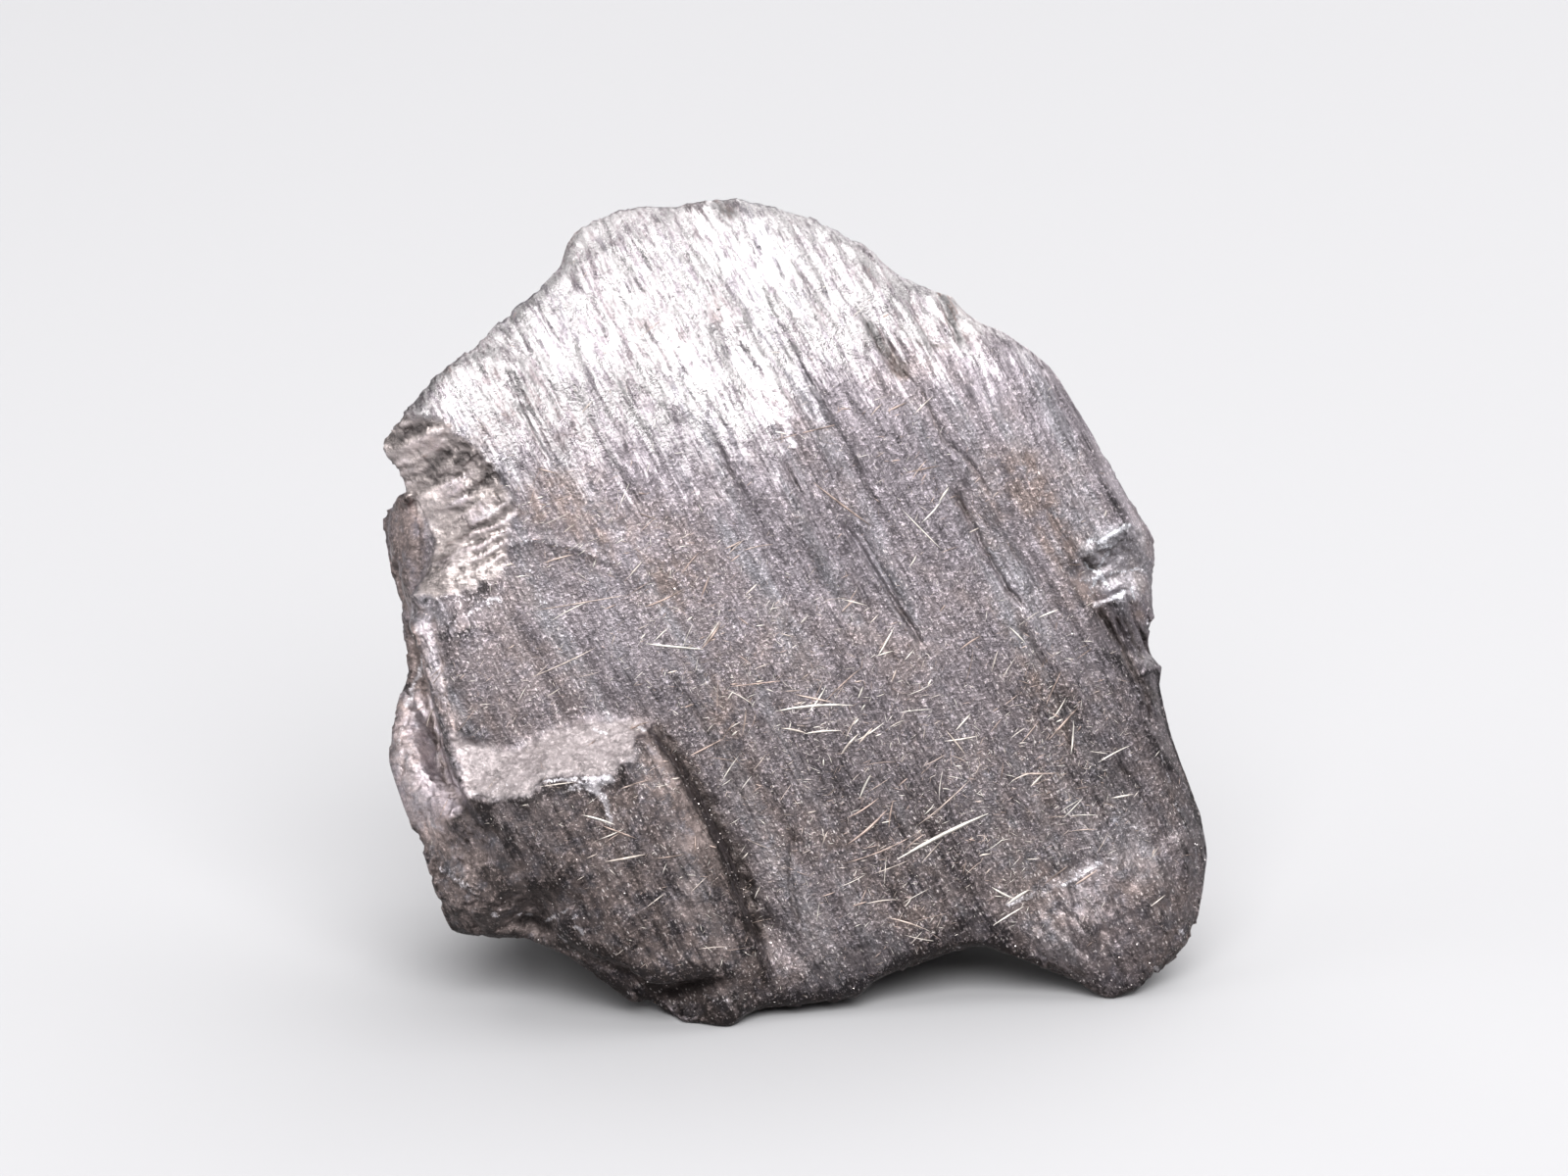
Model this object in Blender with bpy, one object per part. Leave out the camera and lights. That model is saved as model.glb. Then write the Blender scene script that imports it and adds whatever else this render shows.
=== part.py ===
# Andorite crystal fragment: a leaning, wedge-shaped piece with one broad striated face.
#
# The stone is drawn as if it lay on its back. Sizes are in millimetres: u runs to the right along
# the broad face, v up it, and w out of it. It is then stood up on its lower edge and its heel.

import math

import bpy
import bmesh
import numpy as np
from mathutils import Matrix, Vector, kdtree, noise
from mathutils.geometry import delaunay_2d_cdt

mm = 0.001

# Stance
lean = math.radians(18)            # how far the broad face leans back
standHeight = 14.42                # height of the drawing's origin above the ground

# Broad face
faceTurn = 0.155                   # fall of the face to the right, mm per mm
topStart, topCurve = 5.0, 0.016    # the top of the face rolls back above this height
striaTurn = math.radians(-61)      # direction of the striations, from u

# Mesh spacing
rimStep = 0.5                      # along the outline
lineStep = 0.5                     # along edges and grooves
keepOff = 0.3                      # nearest that a filling point comes to a line
backStep = (0.7, 1.2)              # across and along the striations, on the back

# Edges, sides and underside
rimInset = 0.22                    # width of the worn rim of the face
rimDrop = 0.35                     # depth of the worn rim
sideLevels = (0.0, 0.18, 0.38, 0.6, 0.8, 1.0)    # rings from the outline to the back
backInset = 1.4                    # how much smaller the back is
plateStep = 0.32                   # thickness of the back's cleavage plates
groundGap = 0.45                   # space under the stone between its feet
heelLeft, heelRight = -8.4, 5.6    # extent of the heel that it rests on
heelDepth = -9.8                   # the heel lies behind this depth
heelSink = 0.16                    # cut off the heel's lumps to make its flat

# Outline of the face, clockwise from the upper left: u, v and the rim's depth below the face.
outline = [
    (-14.0, 6.9, -1.2), (-13.4, 7.5, -0.8), (-12.5, 8.5, -0.5), (-11.2, 9.5, -0.5), (-10.7, 10.0, -0.8),
    (-9.8, 10.9, -0.8), (-8.8, 11.65, -0.7), (-8.1, 12.4, -0.7), (-7.9, 13.2, -0.7), (-7.5, 13.8, -0.6),
    (-6.6, 14.3, -0.6), (-5.9, 14.55, -0.5), (-4.0, 14.7, -0.4), (-3.1, 14.9, -0.4), (-1.8, 15.05, -0.4),
    (-0.9, 14.85, -0.5), (1.0, 14.3, -0.4), (1.8, 13.9, -0.4), (3.0, 13.25, -0.5), (4.0, 12.3, -0.5),
    (5.4, 11.6, -0.5), (6.2, 11.35, -0.5), (6.4, 10.9, -0.6), (7.2, 10.4, -0.6), (8.0, 10.1, -0.6),
    (8.9, 9.5, -0.6), (9.8, 8.75, -0.6), (10.2, 8.15, -0.6), (11.5, 6.0, -0.7), (12.2, 4.8, -0.8),
    (12.8, 3.9, -0.9), (13.6, 2.5, -1.1), (13.7, 1.8, -1.2), (13.6, 1.1, -1.3), (13.6, 0.0, -1.2),
    (13.7, -0.4, -1.0), (13.4, -0.9, -1.6), (13.3, -1.6, -1.6), (13.9, -2.2, -1.1), (13.75, -2.8, -1.0),
    (14.2, -4.7, -0.9), (14.6, -5.8, -0.9), (15.3, -7.6, -0.9), (15.6, -9.1, -1.0), (15.4, -10.3, -1.0),
    (15.2, -11.6, -0.9), (14.7, -12.6, -0.9), (13.9, -13.3, -0.6), (12.9, -14.1, -0.3), (12.0, -14.5, -0.2),
    (11.0, -13.9, -0.5), (10.3, -13.5, -0.6), (8.9, -13.0, -0.5), (7.3, -12.4, -0.5), (6.2, -12.5, -0.5),
    (4.6, -13.1, -0.4), (3.4, -13.6, -0.4), (2.7, -14.25, -0.4), (0.6, -14.5, -0.3), (-0.6, -14.5, -0.2),
    (-1.2, -14.7, 0.0), (-2.0, -15.3, 0.2), (-3.1, -15.1, -0.3), (-3.7, -15.15, -0.5), (-4.1, -14.9, -0.8),
    (-4.9, -14.3, -1.2), (-5.5, -14.3, -0.9), (-6.6, -13.5, -0.6), (-7.9, -12.5, -0.8), (-9.3, -12.1, -1.6),
    (-10.7, -12.0, -2.0), (-12.1, -11.8, -2.4), (-12.7, -10.3, -2.4), (-13.0, -9.2, -2.4),
    (-13.7, -7.6, -2.8), (-14.2, -6.2, -3.2), (-14.4, -5.6, -3.4), (-14.3, -4.0, -4.0), (-14.0, -3.0, -4.6),
    (-13.7, -2.3, -5.0), (-13.7, -0.3, -5.2), (-13.9, 0.8, -5.2), (-14.2, 1.7, -5.0), (-14.7, 3.3, -4.6),
    (-14.5, 3.6, -4.6), (-13.5, 4.2, -4.4), (-13.8, 4.6, -2.6), (-14.3, 5.3, -2.4), (-14.7, 5.9, -2.2),
    (-14.3, 6.4, -1.6),
]

# Ridges, grooves and ledges of the front, u, v and the height above the broad face.
frontLines = {
    "left facet edge": [(-13.4, 7.0, -0.3), (-12.3, 6.7, 0), (-11.4, 5.9, 0.1), (-10.6, 5.3, 0.1),
                        (-9.9, 4.6, 0.1), (-9.6, 3.6, 0), (-9.9, 2.5, -0.1), (-10.2, 1.8, -0.1)],
    "left facet": [(-13.6, 6.3, -1.3), (-12.5, 5.6, -0.9), (-11.6, 4.4, -0.9), (-10.9, 3.2, -0.7),
                   (-11.5, 1.9, -0.9), (-12.6, 0.9, -1.1)],
    "smooth face edge": [(-10.2, 1.2, -0.4), (-10.8, 0.2, -0.4), (-11.7, -0.4, -0.45), (-12.1, -0.9, -0.5),
                         (-12.1, -2.5, -0.5), (-11.9, -4.5, -0.5)],
    "smooth face": [(-10.7, -2.9, -0.45), (-8.6, -0.7, -0.4), (-7.1, -2.9, -0.3), (-8.6, -3.6, -0.4)],
    "corner hole": [(-13.1, 0.05, -2.0), (-12.85, 0.45, -0.9), (-12.3, 0.5, -0.8), (-11.8, 0.3, -0.6)],
    "ledge top": [(-11.9, -4.5, -0.5), (-10.0, -5.2, -0.5), (-8.6, -4.6, -0.45), (-7.7, -4.2, -0.4),
                  (-6.8, -4.05, -0.35), (-5.4, -4.05, -0.2), (-4.9, -4.25, -0.1)],
    "ledge edge": [(-11.4, -6.7, 0.2), (-10.5, -6.9, 0.9), (-9.1, -6.65, 1.1), (-8.6, -6.15, 1.15),
                   (-7.5, -6.2, 1.2), (-6.8, -6.0, 1.2), (-6.0, -6.0, 1.2), (-5.85, -5.6, 1.15),
                   (-5.4, -5.5, 1.1), (-5.3, -4.7, 0.7), (-4.9, -4.25, -0.1)],
    "block face": [(-10.0, -8.2, 0.7), (-8.6, -8.6, 1.0), (-6.4, -8.2, 1.2), (-4.3, -8.2, 1.1)],
    "block foot": [(-8.6, -10.0, 0.6), (-7.1, -10.0, 1.0), (-5.0, -10.7, 1.1), (-3.6, -11.1, 1.1),
                   (-5.7, -11.8, 0.9)],
    "lower left hollow": [(-12.6, -8.6, -1.8), (-11.8, -8.2, -0.8), (-11.0, -7.7, 0.2)],
    "lower left ridge": [(-12.4, -9.4, -1.7), (-11.7, -9.8, -1.1), (-11.1, -10.4, -0.9),
                         (-11.4, -11.2, -1.6), (-10.0, -11.4, -1.5)],
    "lower left notch": [(-10.0, -10.0, -0.2), (-9.3, -10.5, -0.7), (-9.0, -11.5, -2.0), (-8.4, -11.1, -0.3)],
    "side bulge": [(-13.2, -4.3, -3.7), (-13.6, -5.4, -2.7), (-12.9, -6.4, -1.9), (-12.3, -7.45, -1.2),
                   (-11.9, -7.5, -0.6)],
    "underside lumps": [(-3.9, -14.3, -1.4), (-2.8, -14.65, 0.1), (-1.8, -14.6, 0.4), (-2.0, -14.1, 0.5)],
    "right bevel": [(11.7, 4.6, -0.1), (12.3, 3.8, -0.1), (12.9, 2.75, -0.2), (13.1, 1.9, -0.5)],
    "chip top": [(10.7, 1.6, 0), (11.1, 2.0, 0), (11.8, 2.3, 0), (12.6, 2.65, -0.1)],
    "chip floor": [(11.1, 0.7, -0.4), (11.0, 1.1, -0.4), (11.4, 1.6, -0.4), (12.0, 1.9, -0.5),
                   (12.75, 2.0, -0.6), (12.6, 0.9, -0.7), (11.5, 0.55, -0.5)],
    "chip foot": [(10.8, 0.4, 0), (11.4, 0.2, 0), (12.4, 0.5, -0.1), (13.0, 0.7, -0.5)],
    "upper left ledge": [(-11.0, 9.45, 0), (-8.9, 9.2, 0), (-7.2, 9.0, 0), (-5.8, 9.85, 0)],
    "upper left shelf": [(-10.9, 9.75, -0.3), (-8.9, 9.5, -0.35), (-7.3, 9.3, -0.35), (-6.0, 10.1, -0.2)],
    "lobe": [(11.1, -12.1, 0.2), (12.0, -11.1, 0.25), (13.6, -10.0, 0.1), (13.8, -11.8, 0), (12.5, -13.0, 0.1)],
}

# Steps of the front: u and v of the edge, the height at the edge and at the foot of the step.
frontSteps = {
    "left facet back": ((-0.14, 0.0), [(-13.65, 4.4, -2.5, -4.4), (-13.1, 3.7, -2.3, -4.7),
                                       (-12.9, 3.1, -2.2, -4.9), (-12.6, 2.35, -2.0, -5.0),
                                       (-12.85, 1.1, -1.6, -5.2), (-13.25, 0.35, -1.2, -5.2)]),
    "smooth face back": ((-0.16, -0.05), [(-13.35, -0.2, -1.1, -5.2), (-13.1, -1.2, -1.0, -5.2),
                                          (-12.9, -2.5, -1.0, -4.8), (-12.6, -3.5, -1.0, -4.4),
                                          (-12.4, -4.4, -1.0, -4.0), (-12.2, -5.3, -1.0, -3.2),
                                          (-11.8, -6.2, -0.6, -2.0), (-11.4, -6.7, 0.2, -1.0)]),
    "smooth face top": ((0.05, -0.28), [(-9.8, 2.1, 0, -0.4), (-9.4, 2.35, 0, -0.45), (-8.9, 2.5, 0, -0.45),
                                        (-7.9, 2.4, 0, -0.45), (-7.1, 2.1, 0, -0.4), (-6.2, 1.7, 0, -0.35),
                                        (-5.4, 1.1, 0, -0.25), (-4.2, 0.9, 0, -0.1)]),
    "block right": ((0.32, 0.03), [(-4.5, -5.0, 0.8, -0.1), (-3.8, -6.0, 0.95, -0.15),
                                   (-3.1, -7.4, 0.95, -0.2), (-2.5, -8.5, 0.9, -0.2),
                                   (-2.1, -9.3, 0.9, -0.25), (-1.9, -10.3, 0.9, -0.25),
                                   (-1.4, -11.3, 0.8, -0.2), (-1.0, -12.3, 0.6, -0.1),
                                   (-0.8, -13.0, 0.3, 0.0)]),
    "block underside": ((0.0, -0.28), [(-8.0, -11.75, -0.1, -0.6), (-6.9, -12.4, 0.2, -0.7),
                                       (-6.0, -12.8, 0.4, -0.8), (-5.5, -12.95, 0.6, -0.9),
                                       (-5.0, -13.45, 0.8, -1.0), (-4.5, -13.55, 0.8, -1.0),
                                       (-3.1, -13.35, 0.9, -0.8), (-2.1, -13.3, 0.8, 0.2)]),
}

# Lens-shaped pits and long grooves along the striations: both ends, half width and depth.
grooves = [
    ((3.1, 10.4), (4.5, 8.8), 0.32, 0.42), ((4.5, 11.2), (5.2, 9.8), 0.26, 0.35),
    ((5.0, 10.0), (5.8, 9.4), 0.22, 0.35), ((5.8, 11.3), (6.4, 9.7), 0.26, 0.42),
    ((4.6, 7.2), (9.3, -0.9), 0.42, 0.2), ((2.3, 2.0), (4.7, -1.6), 0.4, 0.22),
    ((0.2, 2.2), (3.4, -1.2), 0.5, 0.16), ((6.6, 4.8), (10.4, -1.8), 0.4, 0.17),
    ((11.6, 0.0), (12.5, -2.3), 0.2, 0.34), ((12.45, -0.4), (13.0, -2.4), 0.2, 0.4),
    ((-6.2, 8.4), (-2.6, 1.9), 0.34, 0.1), ((-0.2, 9.4), (2.4, 4.6), 0.34, 0.1),
    ((9.2, 7.6), (12.2, 2.0), 0.34, 0.12), ((-1.6, -9.0), (0.2, -13.4), 0.5, 0.2),
]

# Patches with a relief of their own: the patch's corners, the turn of its grain, the spacing of
# its points across and along the grain, and the name of its relief.
patches = {
    "left facet": ([(-14.5, 6.9), (-12.3, 6.5), (-10.6, 5.1), (-9.8, 3.6), (-10.3, 1.6), (-12, 0.7),
                    (-13.1, 0.7), (-12.6, 2.4), (-13.6, 4.6)], 22, 0.36, 0.8, "ripples"),
    "side": ([(-15, 3.8), (-13.3, 4), (-12.95, 2.3), (-13.5, 0), (-12.7, -4.4), (-11.6, -6.8),
              (-12.5, -8.2), (-14.5, -7.6)], 70, 0.5, 0.8, "rough"),
    "fracture": ([(-13.6, -7.4), (-11.5, -7.2), (-9.5, -9.2), (-8.2, -11.5), (-7.5, -13), (-13, -12.2)],
                 -40, 0.5, 0.6, "rough"),
    "block": ([(-11.4, -6.8), (-5.3, -4.9), (-3.4, -7.2), (-1.2, -13), (-2, -15.2), (-7, -13.8),
               (-9, -10)], -52, 0.62, 0.8, "grain"),
    "lobe": ([(9.3, -9.8), (12.3, -9), (15.7, -8.3), (15.7, -11), (12, -14.6), (9.3, -13.5)],
             -58, 0.45, 0.7, "grain"),
}
faceSpacing = (0.5, 1.2)           # across and along the striations, on the broad face

# Back of the stone, u, v and w: a steep upper slope, a stepped middle and a bulging heel.
backPoints = [
    (-14.5, 5.5, -4.6), (-13.9, -1.0, -6.0), (-13.4, -7.0, -7.4), (-12.0, -11.5, -8.4), (-9.0, 9.8, -4.2),
    (-10.2, 3.4, -6.4), (-9.6, -4.0, -9.4), (-8.6, -11.8, -12.0), (-3.0, 14.8, -3.6), (2.0, 13.9, -4.2),
    (4.5, 4.4, -6.8), (5.0, -2.0, -9.4), (4.4, -7.6, -12.0), (6.6, -12.2, -11.6), (-4.0, -9.4, -13.0),
    (-2.0, -12.2, -12.9), (7.4, 10.6, -5.0), (13.2, 4.4, -6.4), (12.4, -3.0, -8.0), (14.6, -8.0, -7.4),
    (12.6, -13.0, -8.0), (9.8, -8.6, -10.6),
]
backSteps = {
    "long cleavage": ((0.42, 0.24), [(-7.8, 8.6, -4.9, -4.2), (-4.6, 2.6, -7.5, -6.6),
                                     (-1.6, -2.8, -9.9, -8.9), (0.6, -6.8, -11.6, -10.7)]),
    "short cleavage": ((0.4, 0.22), [(4.6, 8.4, -6.0, -5.3), (8.6, 1.4, -8.4, -7.4), (11.2, -3.4, -9.0, -8.3)]),
}


def alongTurn(turn):
    """Unit vectors along and across a direction on the face."""
    return np.array((math.cos(turn), math.sin(turn))), np.array((-math.sin(turn), math.cos(turn)))


def hill(u, v, size, seed):
    """Smooth noise of about -1 to 1 with lumps of the given size."""
    return noise.noise(Vector((u / size, v / size, seed)))


def resample(points, step):
    """Points along a line no further apart than step, with its corners kept."""
    result = [points[0]]
    for start, end in zip(points[:-1], points[1:]):
        start, end = np.array(start), np.array(end)
        count = max(1, math.ceil(np.linalg.norm(end[:2] - start[:2]) / step))
        result += [tuple(start + (end - start) * k / count) for k in range(1, count + 1)]
    return result


def insidePolygon(polygon, points):
    """Which of the points lie inside a polygon."""
    polygon, points = np.array(polygon)[:, :2], np.atleast_2d(points)
    x, y = points[:, 0], points[:, 1]
    inside = np.zeros(len(points), dtype=bool)
    for (x0, y0), (x1, y1) in zip(polygon, np.roll(polygon, -1, axis=0)):
        if y0 == y1:
            continue
        crosses = (y0 > y) != (y1 > y)
        inside ^= crosses & (x < x0 + (x1 - x0) * (y - y0) / (y1 - y0))
    return inside


def triangulate(points, edges):
    """Triangles through the points that keep the edges; also each point's place in the result."""
    made = delaunay_2d_cdt([Vector(p) for p in points], edges, [], 0, 1e-5)
    places = {old: new for new, olds in enumerate(made[3]) for old in olds}
    return np.array([tuple(p) for p in made[0]]), np.array(made[2]), places


class FacetSheet:
    """A surface of flat facets through lines of points (u, v, height)."""

    def __init__(self, lines):
        points, edges = [], []
        for line in lines:
            first = len(points)
            points += line
            edges += [(first + k, first + k + 1) for k in range(len(line) - 1)]
        flat, faces, places = triangulate([p[:2] for p in points], edges)
        heights = np.zeros(len(flat))
        for old, new in places.items():
            heights[new] = points[old][2]
        self.corners, self.heights = flat[faces], heights[faces]

    def height(self, points):
        """Heights of the surface over an array of points."""
        result = np.zeros(len(points))
        best = np.full(len(points), -1e9)
        for (a, b, c), (ha, hb, hc) in zip(self.corners, self.heights):
            area = (b[0] - a[0]) * (c[1] - a[1]) - (c[0] - a[0]) * (b[1] - a[1])
            if abs(area) < 1e-9:
                continue
            x, y = points[:, 0] - a[0], points[:, 1] - a[1]
            s = (x * (c[1] - a[1]) - (c[0] - a[0]) * y) / area
            t = ((b[0] - a[0]) * y - x * (b[1] - a[1])) / area
            least = np.minimum(np.minimum(s, t), 1 - s - t)
            closer = least > best
            best[closer] = least[closer]
            result[closer] = (ha + s * (hb - ha) + t * (hc - ha))[closer]
        return result


def stepLines(steps):
    """The edge and the foot of every step, as two lines each."""
    lines = []
    for shift, points in steps.values():
        lines.append([(u, v, top) for u, v, top, foot in points])
        lines.append([(u + shift[0], v + shift[1], foot) for u, v, top, foot in points])
    return lines


def broadFace(u, v):
    """Height of the plain broad face."""
    return -faceTurn * (u + 2.0) - topCurve * max(0.0, v - topStart) ** 2


def grooveDepth(u, v):
    """Depth of the grooves and pits at a point."""
    depth = 0.0
    for start, end, halfWidth, deepest in grooves:
        run = (end[0] - start[0], end[1] - start[1])
        length = math.hypot(*run)
        along = ((u - start[0]) * run[0] + (v - start[1]) * run[1]) / length ** 2
        across = abs((u - start[0]) * run[1] - (v - start[1]) * run[0]) / length
        if 0 < along < 1 and across < halfWidth:
            depth = max(depth, deepest * (1 - across / halfWidth) * min(1.0, 4 * along, 4 * (1 - along)))
    return depth


def striations(u, v):
    """Low ridges along the striations, broad bands with narrow ones on them."""
    (cx, cy), (ax, ay) = alongTurn(striaTurn)
    along, across = u * cx + v * cy, u * ax + v * ay
    broad = hill(across, along * 0.12, 2.6, 3.0)
    narrow = hill(across, along * 0.1, 0.8, 7.0)
    return 0.16 * broad + 0.11 * narrow - grooveDepth(u, v)


def ripples(u, v):
    """Steps that run up to the right across the left facet."""
    (cx, cy), (ax, ay) = alongTurn(math.radians(22))
    along, across = u * cx + v * cy, u * ax + v * ay
    phase = across / 0.72 + 0.8 * hill(along, across, 2.2, 5.0)
    return 0.34 * (phase % 1.0) - 0.17 + 0.1 * hill(u, v, 0.7, 9.0)


def rough(u, v):
    """Broken rock."""
    return 0.5 * hill(u, v, 1.9, 11.0) + 0.24 * hill(u, v, 0.8, 13.0)


def grain(u, v):
    """Lumps drawn out along the striations."""
    (cx, cy), (ax, ay) = alongTurn(striaTurn)
    along, across = u * cx + v * cy, u * ax + v * ay
    return 0.2 * hill(across, along * 0.5, 1.4, 17.0) + 0.15 * hill(across, along * 0.5, 0.6, 19.0)


def plates(u, v):
    """Thin cleavage plates of the back, drawn out along the striations."""
    (cx, cy), (ax, ay) = alongTurn(striaTurn)
    along, across = u * cx + v * cy, u * ax + v * ay
    level = 3.2 * hill(across, along * 0.3, 3.6, 31.0)
    edge = ramp(level - math.floor(level), 0.7, 1.0)
    return plateStep * (math.floor(level) + edge) + 0.1 * hill(across, along * 0.1, 0.9, 37.0)


reliefs = {"ripples": ripples, "rough": rough, "grain": grain}


def relief(points):
    """Relief of the front at each point, by patch."""
    owner = ["face"] * len(points)
    for name, patch in patches.items():
        for k in np.flatnonzero(insidePolygon(patch[0], points)):
            owner[k] = name
    heights = []
    for (u, v), name in zip(points, owner):
        shape = striations if name == "face" else reliefs[patches[name][4]]
        heights.append(shape(u, v))
    return np.array(heights)


def lattice(turn, across, along):
    """A grid of points over the whole stone, its rows turned along the grain."""
    alongAxis, acrossAxis = alongTurn(turn)
    reach = 24.0
    rows = np.arange(-reach, reach, across)
    columns = np.arange(-reach, reach, along)
    points = [alongAxis * c + acrossAxis * r for r in rows for c in columns]
    return np.array(points)


def fillPoints(candidates, taken):
    """Candidates that stay clear of the points already there."""
    tree = kdtree.KDTree(len(taken))
    for k, p in enumerate(taken):
        tree.insert((p[0], p[1], 0), k)
    tree.balance()
    return [tuple(p) for p in candidates if tree.find((p[0], p[1], 0))[2] > keepOff]


def frontCandidates():
    """Filling points for the face and its patches, each with its own grain."""
    points = lattice(striaTurn, *faceSpacing)
    free = np.ones(len(points), dtype=bool)
    groups = []
    for corners, turn, across, along, name in patches.values():
        free &= ~insidePolygon(corners, points)
        grid = lattice(math.radians(turn), across, along)
        groups.append(grid[insidePolygon(corners, grid)])
    return np.vstack([points[free]] + groups)


def sheetMesh(ring, lines, candidates):
    """Triangulate the inside of a ring of points, keeping the lines on it."""
    ringPoints = [tuple(p) for p in ring]
    points, edges = list(ringPoints), [(k, (k + 1) % len(ring)) for k in range(len(ring))]
    tree = kdtree.KDTree(len(ring))
    for k, p in enumerate(ringPoints):
        tree.insert((p[0], p[1], 0), k)
    tree.balance()
    for line in lines:
        kept = -2
        fine = [p[:2] for p in resample(line, lineStep)]
        for k, (p, inside) in enumerate(zip(fine, insidePolygon(ringPoints, fine))):
            if not inside or tree.find((p[0], p[1], 0))[2] < 0.2:
                continue
            if kept == k - 1:
                edges.append((len(points) - 1, len(points)))
            points.append(p)
            kept = k
    inner = candidates[insidePolygon(ringPoints, candidates)]
    points += fillPoints(inner, points)
    flat, faces, places = triangulate(points, edges)
    middles = flat[faces].mean(axis=1)
    faces = faces[insidePolygon(ringPoints, middles)]
    return flat, faces, [places[k] for k in range(len(ring))]


def frontSurface():
    """The facets of the front, as heights above the broad face."""
    lines = [outline + outline[:1]] + list(frontLines.values()) + stepLines(frontSteps)
    shoulder = [(u * 0.955, v * 0.955, rim * 0.2) for u, v, rim in outline if rim > -1.35]
    fixed = [p for line in lines for p in resample(line, 0.8)]
    grid = [p for p in lattice(0, 2.4, 2.4) if insidePolygon(outline, p)[0]]
    clear = [p for p in grid if min(math.hypot(p[0] - q[0], p[1] - q[1]) for q in fixed) > 1.5]
    plain = [p for p in clear if p[0] > -8.5 and not (p[0] < -1.5 and p[1] < -4)]
    points = [[(p[0], p[1], 0.0)] for p in plain] + [[p] for p in shoulder]
    return FacetSheet(lines + points)


def toStanding(points):
    """Turn drawing coordinates into the standing stone's, still in millimetres."""
    turn = np.array(Matrix.Rotation(math.radians(90) - lean, 3, "X"))
    return np.array(points) @ turn.T + np.array((0, 0, standHeight))


def ramp(value, start, end):
    """0 before start, 1 after end, and a straight slope between them."""
    return min(1.0, max(0.0, (value - start) / (end - start)))


def groundedPoint(u, v, w):
    """Raise a point of the underside so that only the heel and the front tips touch the ground."""
    height = v * math.cos(lean) + w * math.sin(lean) + standHeight
    heel = ramp(u, heelLeft - 2.5, heelLeft) * ramp(-u, -heelRight - 2.5, -heelRight)
    heel *= ramp(-w, -heelDepth - 2.5, -heelDepth)
    hollow = groundGap + 0.5 * hill(u, w, 2.3, 23.0) + 0.1 * abs(w)
    least = hollow * (1 - heel) - heelSink * heel
    if height < least:
        v += (least - height) / math.cos(lean)
    return v


def brokenSide(u, v, w):
    """How far the side stands out from a smooth one, mostly inward."""
    place = Vector((u, v, w))
    return 0.6 * noise.noise(place / 2.7) + 0.35 * noise.noise(place / 1.1) - 0.3


def sideRings(ring, rimHeights, backSheet):
    """Rings of points from the face's outline round to the back."""
    ring = np.array(ring)
    smooth = ring.copy()
    for step in range(9):
        smooth = (np.roll(smooth, 1, axis=0) + 2 * smooth + np.roll(smooth, -1, axis=0)) / 4
    radius = np.linalg.norm(smooth, axis=1)
    rings = []
    for level in sideLevels:
        blend = min(1.0, level * 2.5)
        place = ring * (1 - blend) + smooth * blend
        inset = backInset * level ** 1.5
        scale = 1 - inset / radius
        place = place * scale[:, None]
        backHeight = backSheet.height(place)
        start = rimHeights - rimDrop
        depth = start + (np.minimum(backHeight, start - 1.2) - start) * level
        broken = [brokenSide(u, v, w) * min(1.0, level * 3) for (u, v), w in zip(place, depth)]
        place = place * (1 + np.array(broken) / radius)[:, None]
        if level > 0:
            place[:, 1] = [groundedPoint(u, v, w) for (u, v), w in zip(place, depth)]
        rings.append(np.column_stack((place, depth)))
    return rings


def buildStone():
    """The whole stone as one closed mesh, standing on its feet."""
    ring = np.array([p[:2] for p in resample(outline + outline[:1], rimStep)[:-1]])
    front = frontSurface()
    backSheet = FacetSheet([[p] for p in backPoints] + stepLines(backSteps))
    frontRing = ring * (1 - rimInset / np.linalg.norm(ring, axis=1))[:, None]
    lines = list(frontLines.values()) + stepLines(frontSteps)
    flat, faces, rim = sheetMesh(frontRing, lines, frontCandidates())
    calm = np.ones(len(flat))
    calm[rim] = 0.3
    base = np.array([broadFace(u, v) for u, v in flat])
    frontHeights = base + front.height(flat) + relief(flat) * calm

    mesh = bmesh.new()

    def addPoints(points):
        return [mesh.verts.new(p) for p in toStanding(points)]

    frontVerts = addPoints(np.column_stack((flat, frontHeights)))
    for a, b, c in faces:
        mesh.faces.new((frontVerts[a], frontVerts[b], frontVerts[c]))

    rings = sideRings(ring, frontHeights[rim], backSheet)
    previous = [frontVerts[k] for k in rim]
    for points in rings[:-1]:
        current = addPoints(points)
        bridge(mesh, previous, current)
        previous = current

    backFlat, backFaces, backRim = sheetMesh(rings[-1][:, :2], stepLines(backSteps),
                                             lattice(striaTurn, *backStep))
    backHeights = backSheet.height(backFlat)
    backHeights -= np.array([plates(u, v) + 0.7 * rough(u, v + 30) for u, v in backFlat])
    backHeights[backRim] = rings[-1][:, 2]
    backVerts = addPoints(np.column_stack((backFlat, backHeights)))
    for a, b, c in backFaces:
        mesh.faces.new((backVerts[a], backVerts[c], backVerts[b]))
    bridge(mesh, previous, [backVerts[k] for k in backRim])
    return mesh


def bridge(mesh, upper, lower):
    """Join two rings of as many points with triangles."""
    for k in range(len(upper)):
        n = (k + 1) % len(upper)
        mesh.faces.new((upper[k], upper[n], lower[n]))
        mesh.faces.new((upper[k], lower[n], lower[k]))


def cutFeet(mesh):
    """Cut the lowest tips flat where the stone stands."""
    everything = mesh.verts[:] + mesh.edges[:] + mesh.faces[:]
    bmesh.ops.bisect_plane(mesh, geom=everything, plane_co=(0, 0, 0), plane_no=(0, 0, 1),
                           clear_inner=True, dist=1e-4)
    openEdges = [e for e in mesh.edges if len(e.link_faces) == 1]
    bmesh.ops.holes_fill(mesh, edges=openEdges, sides=0)


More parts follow.
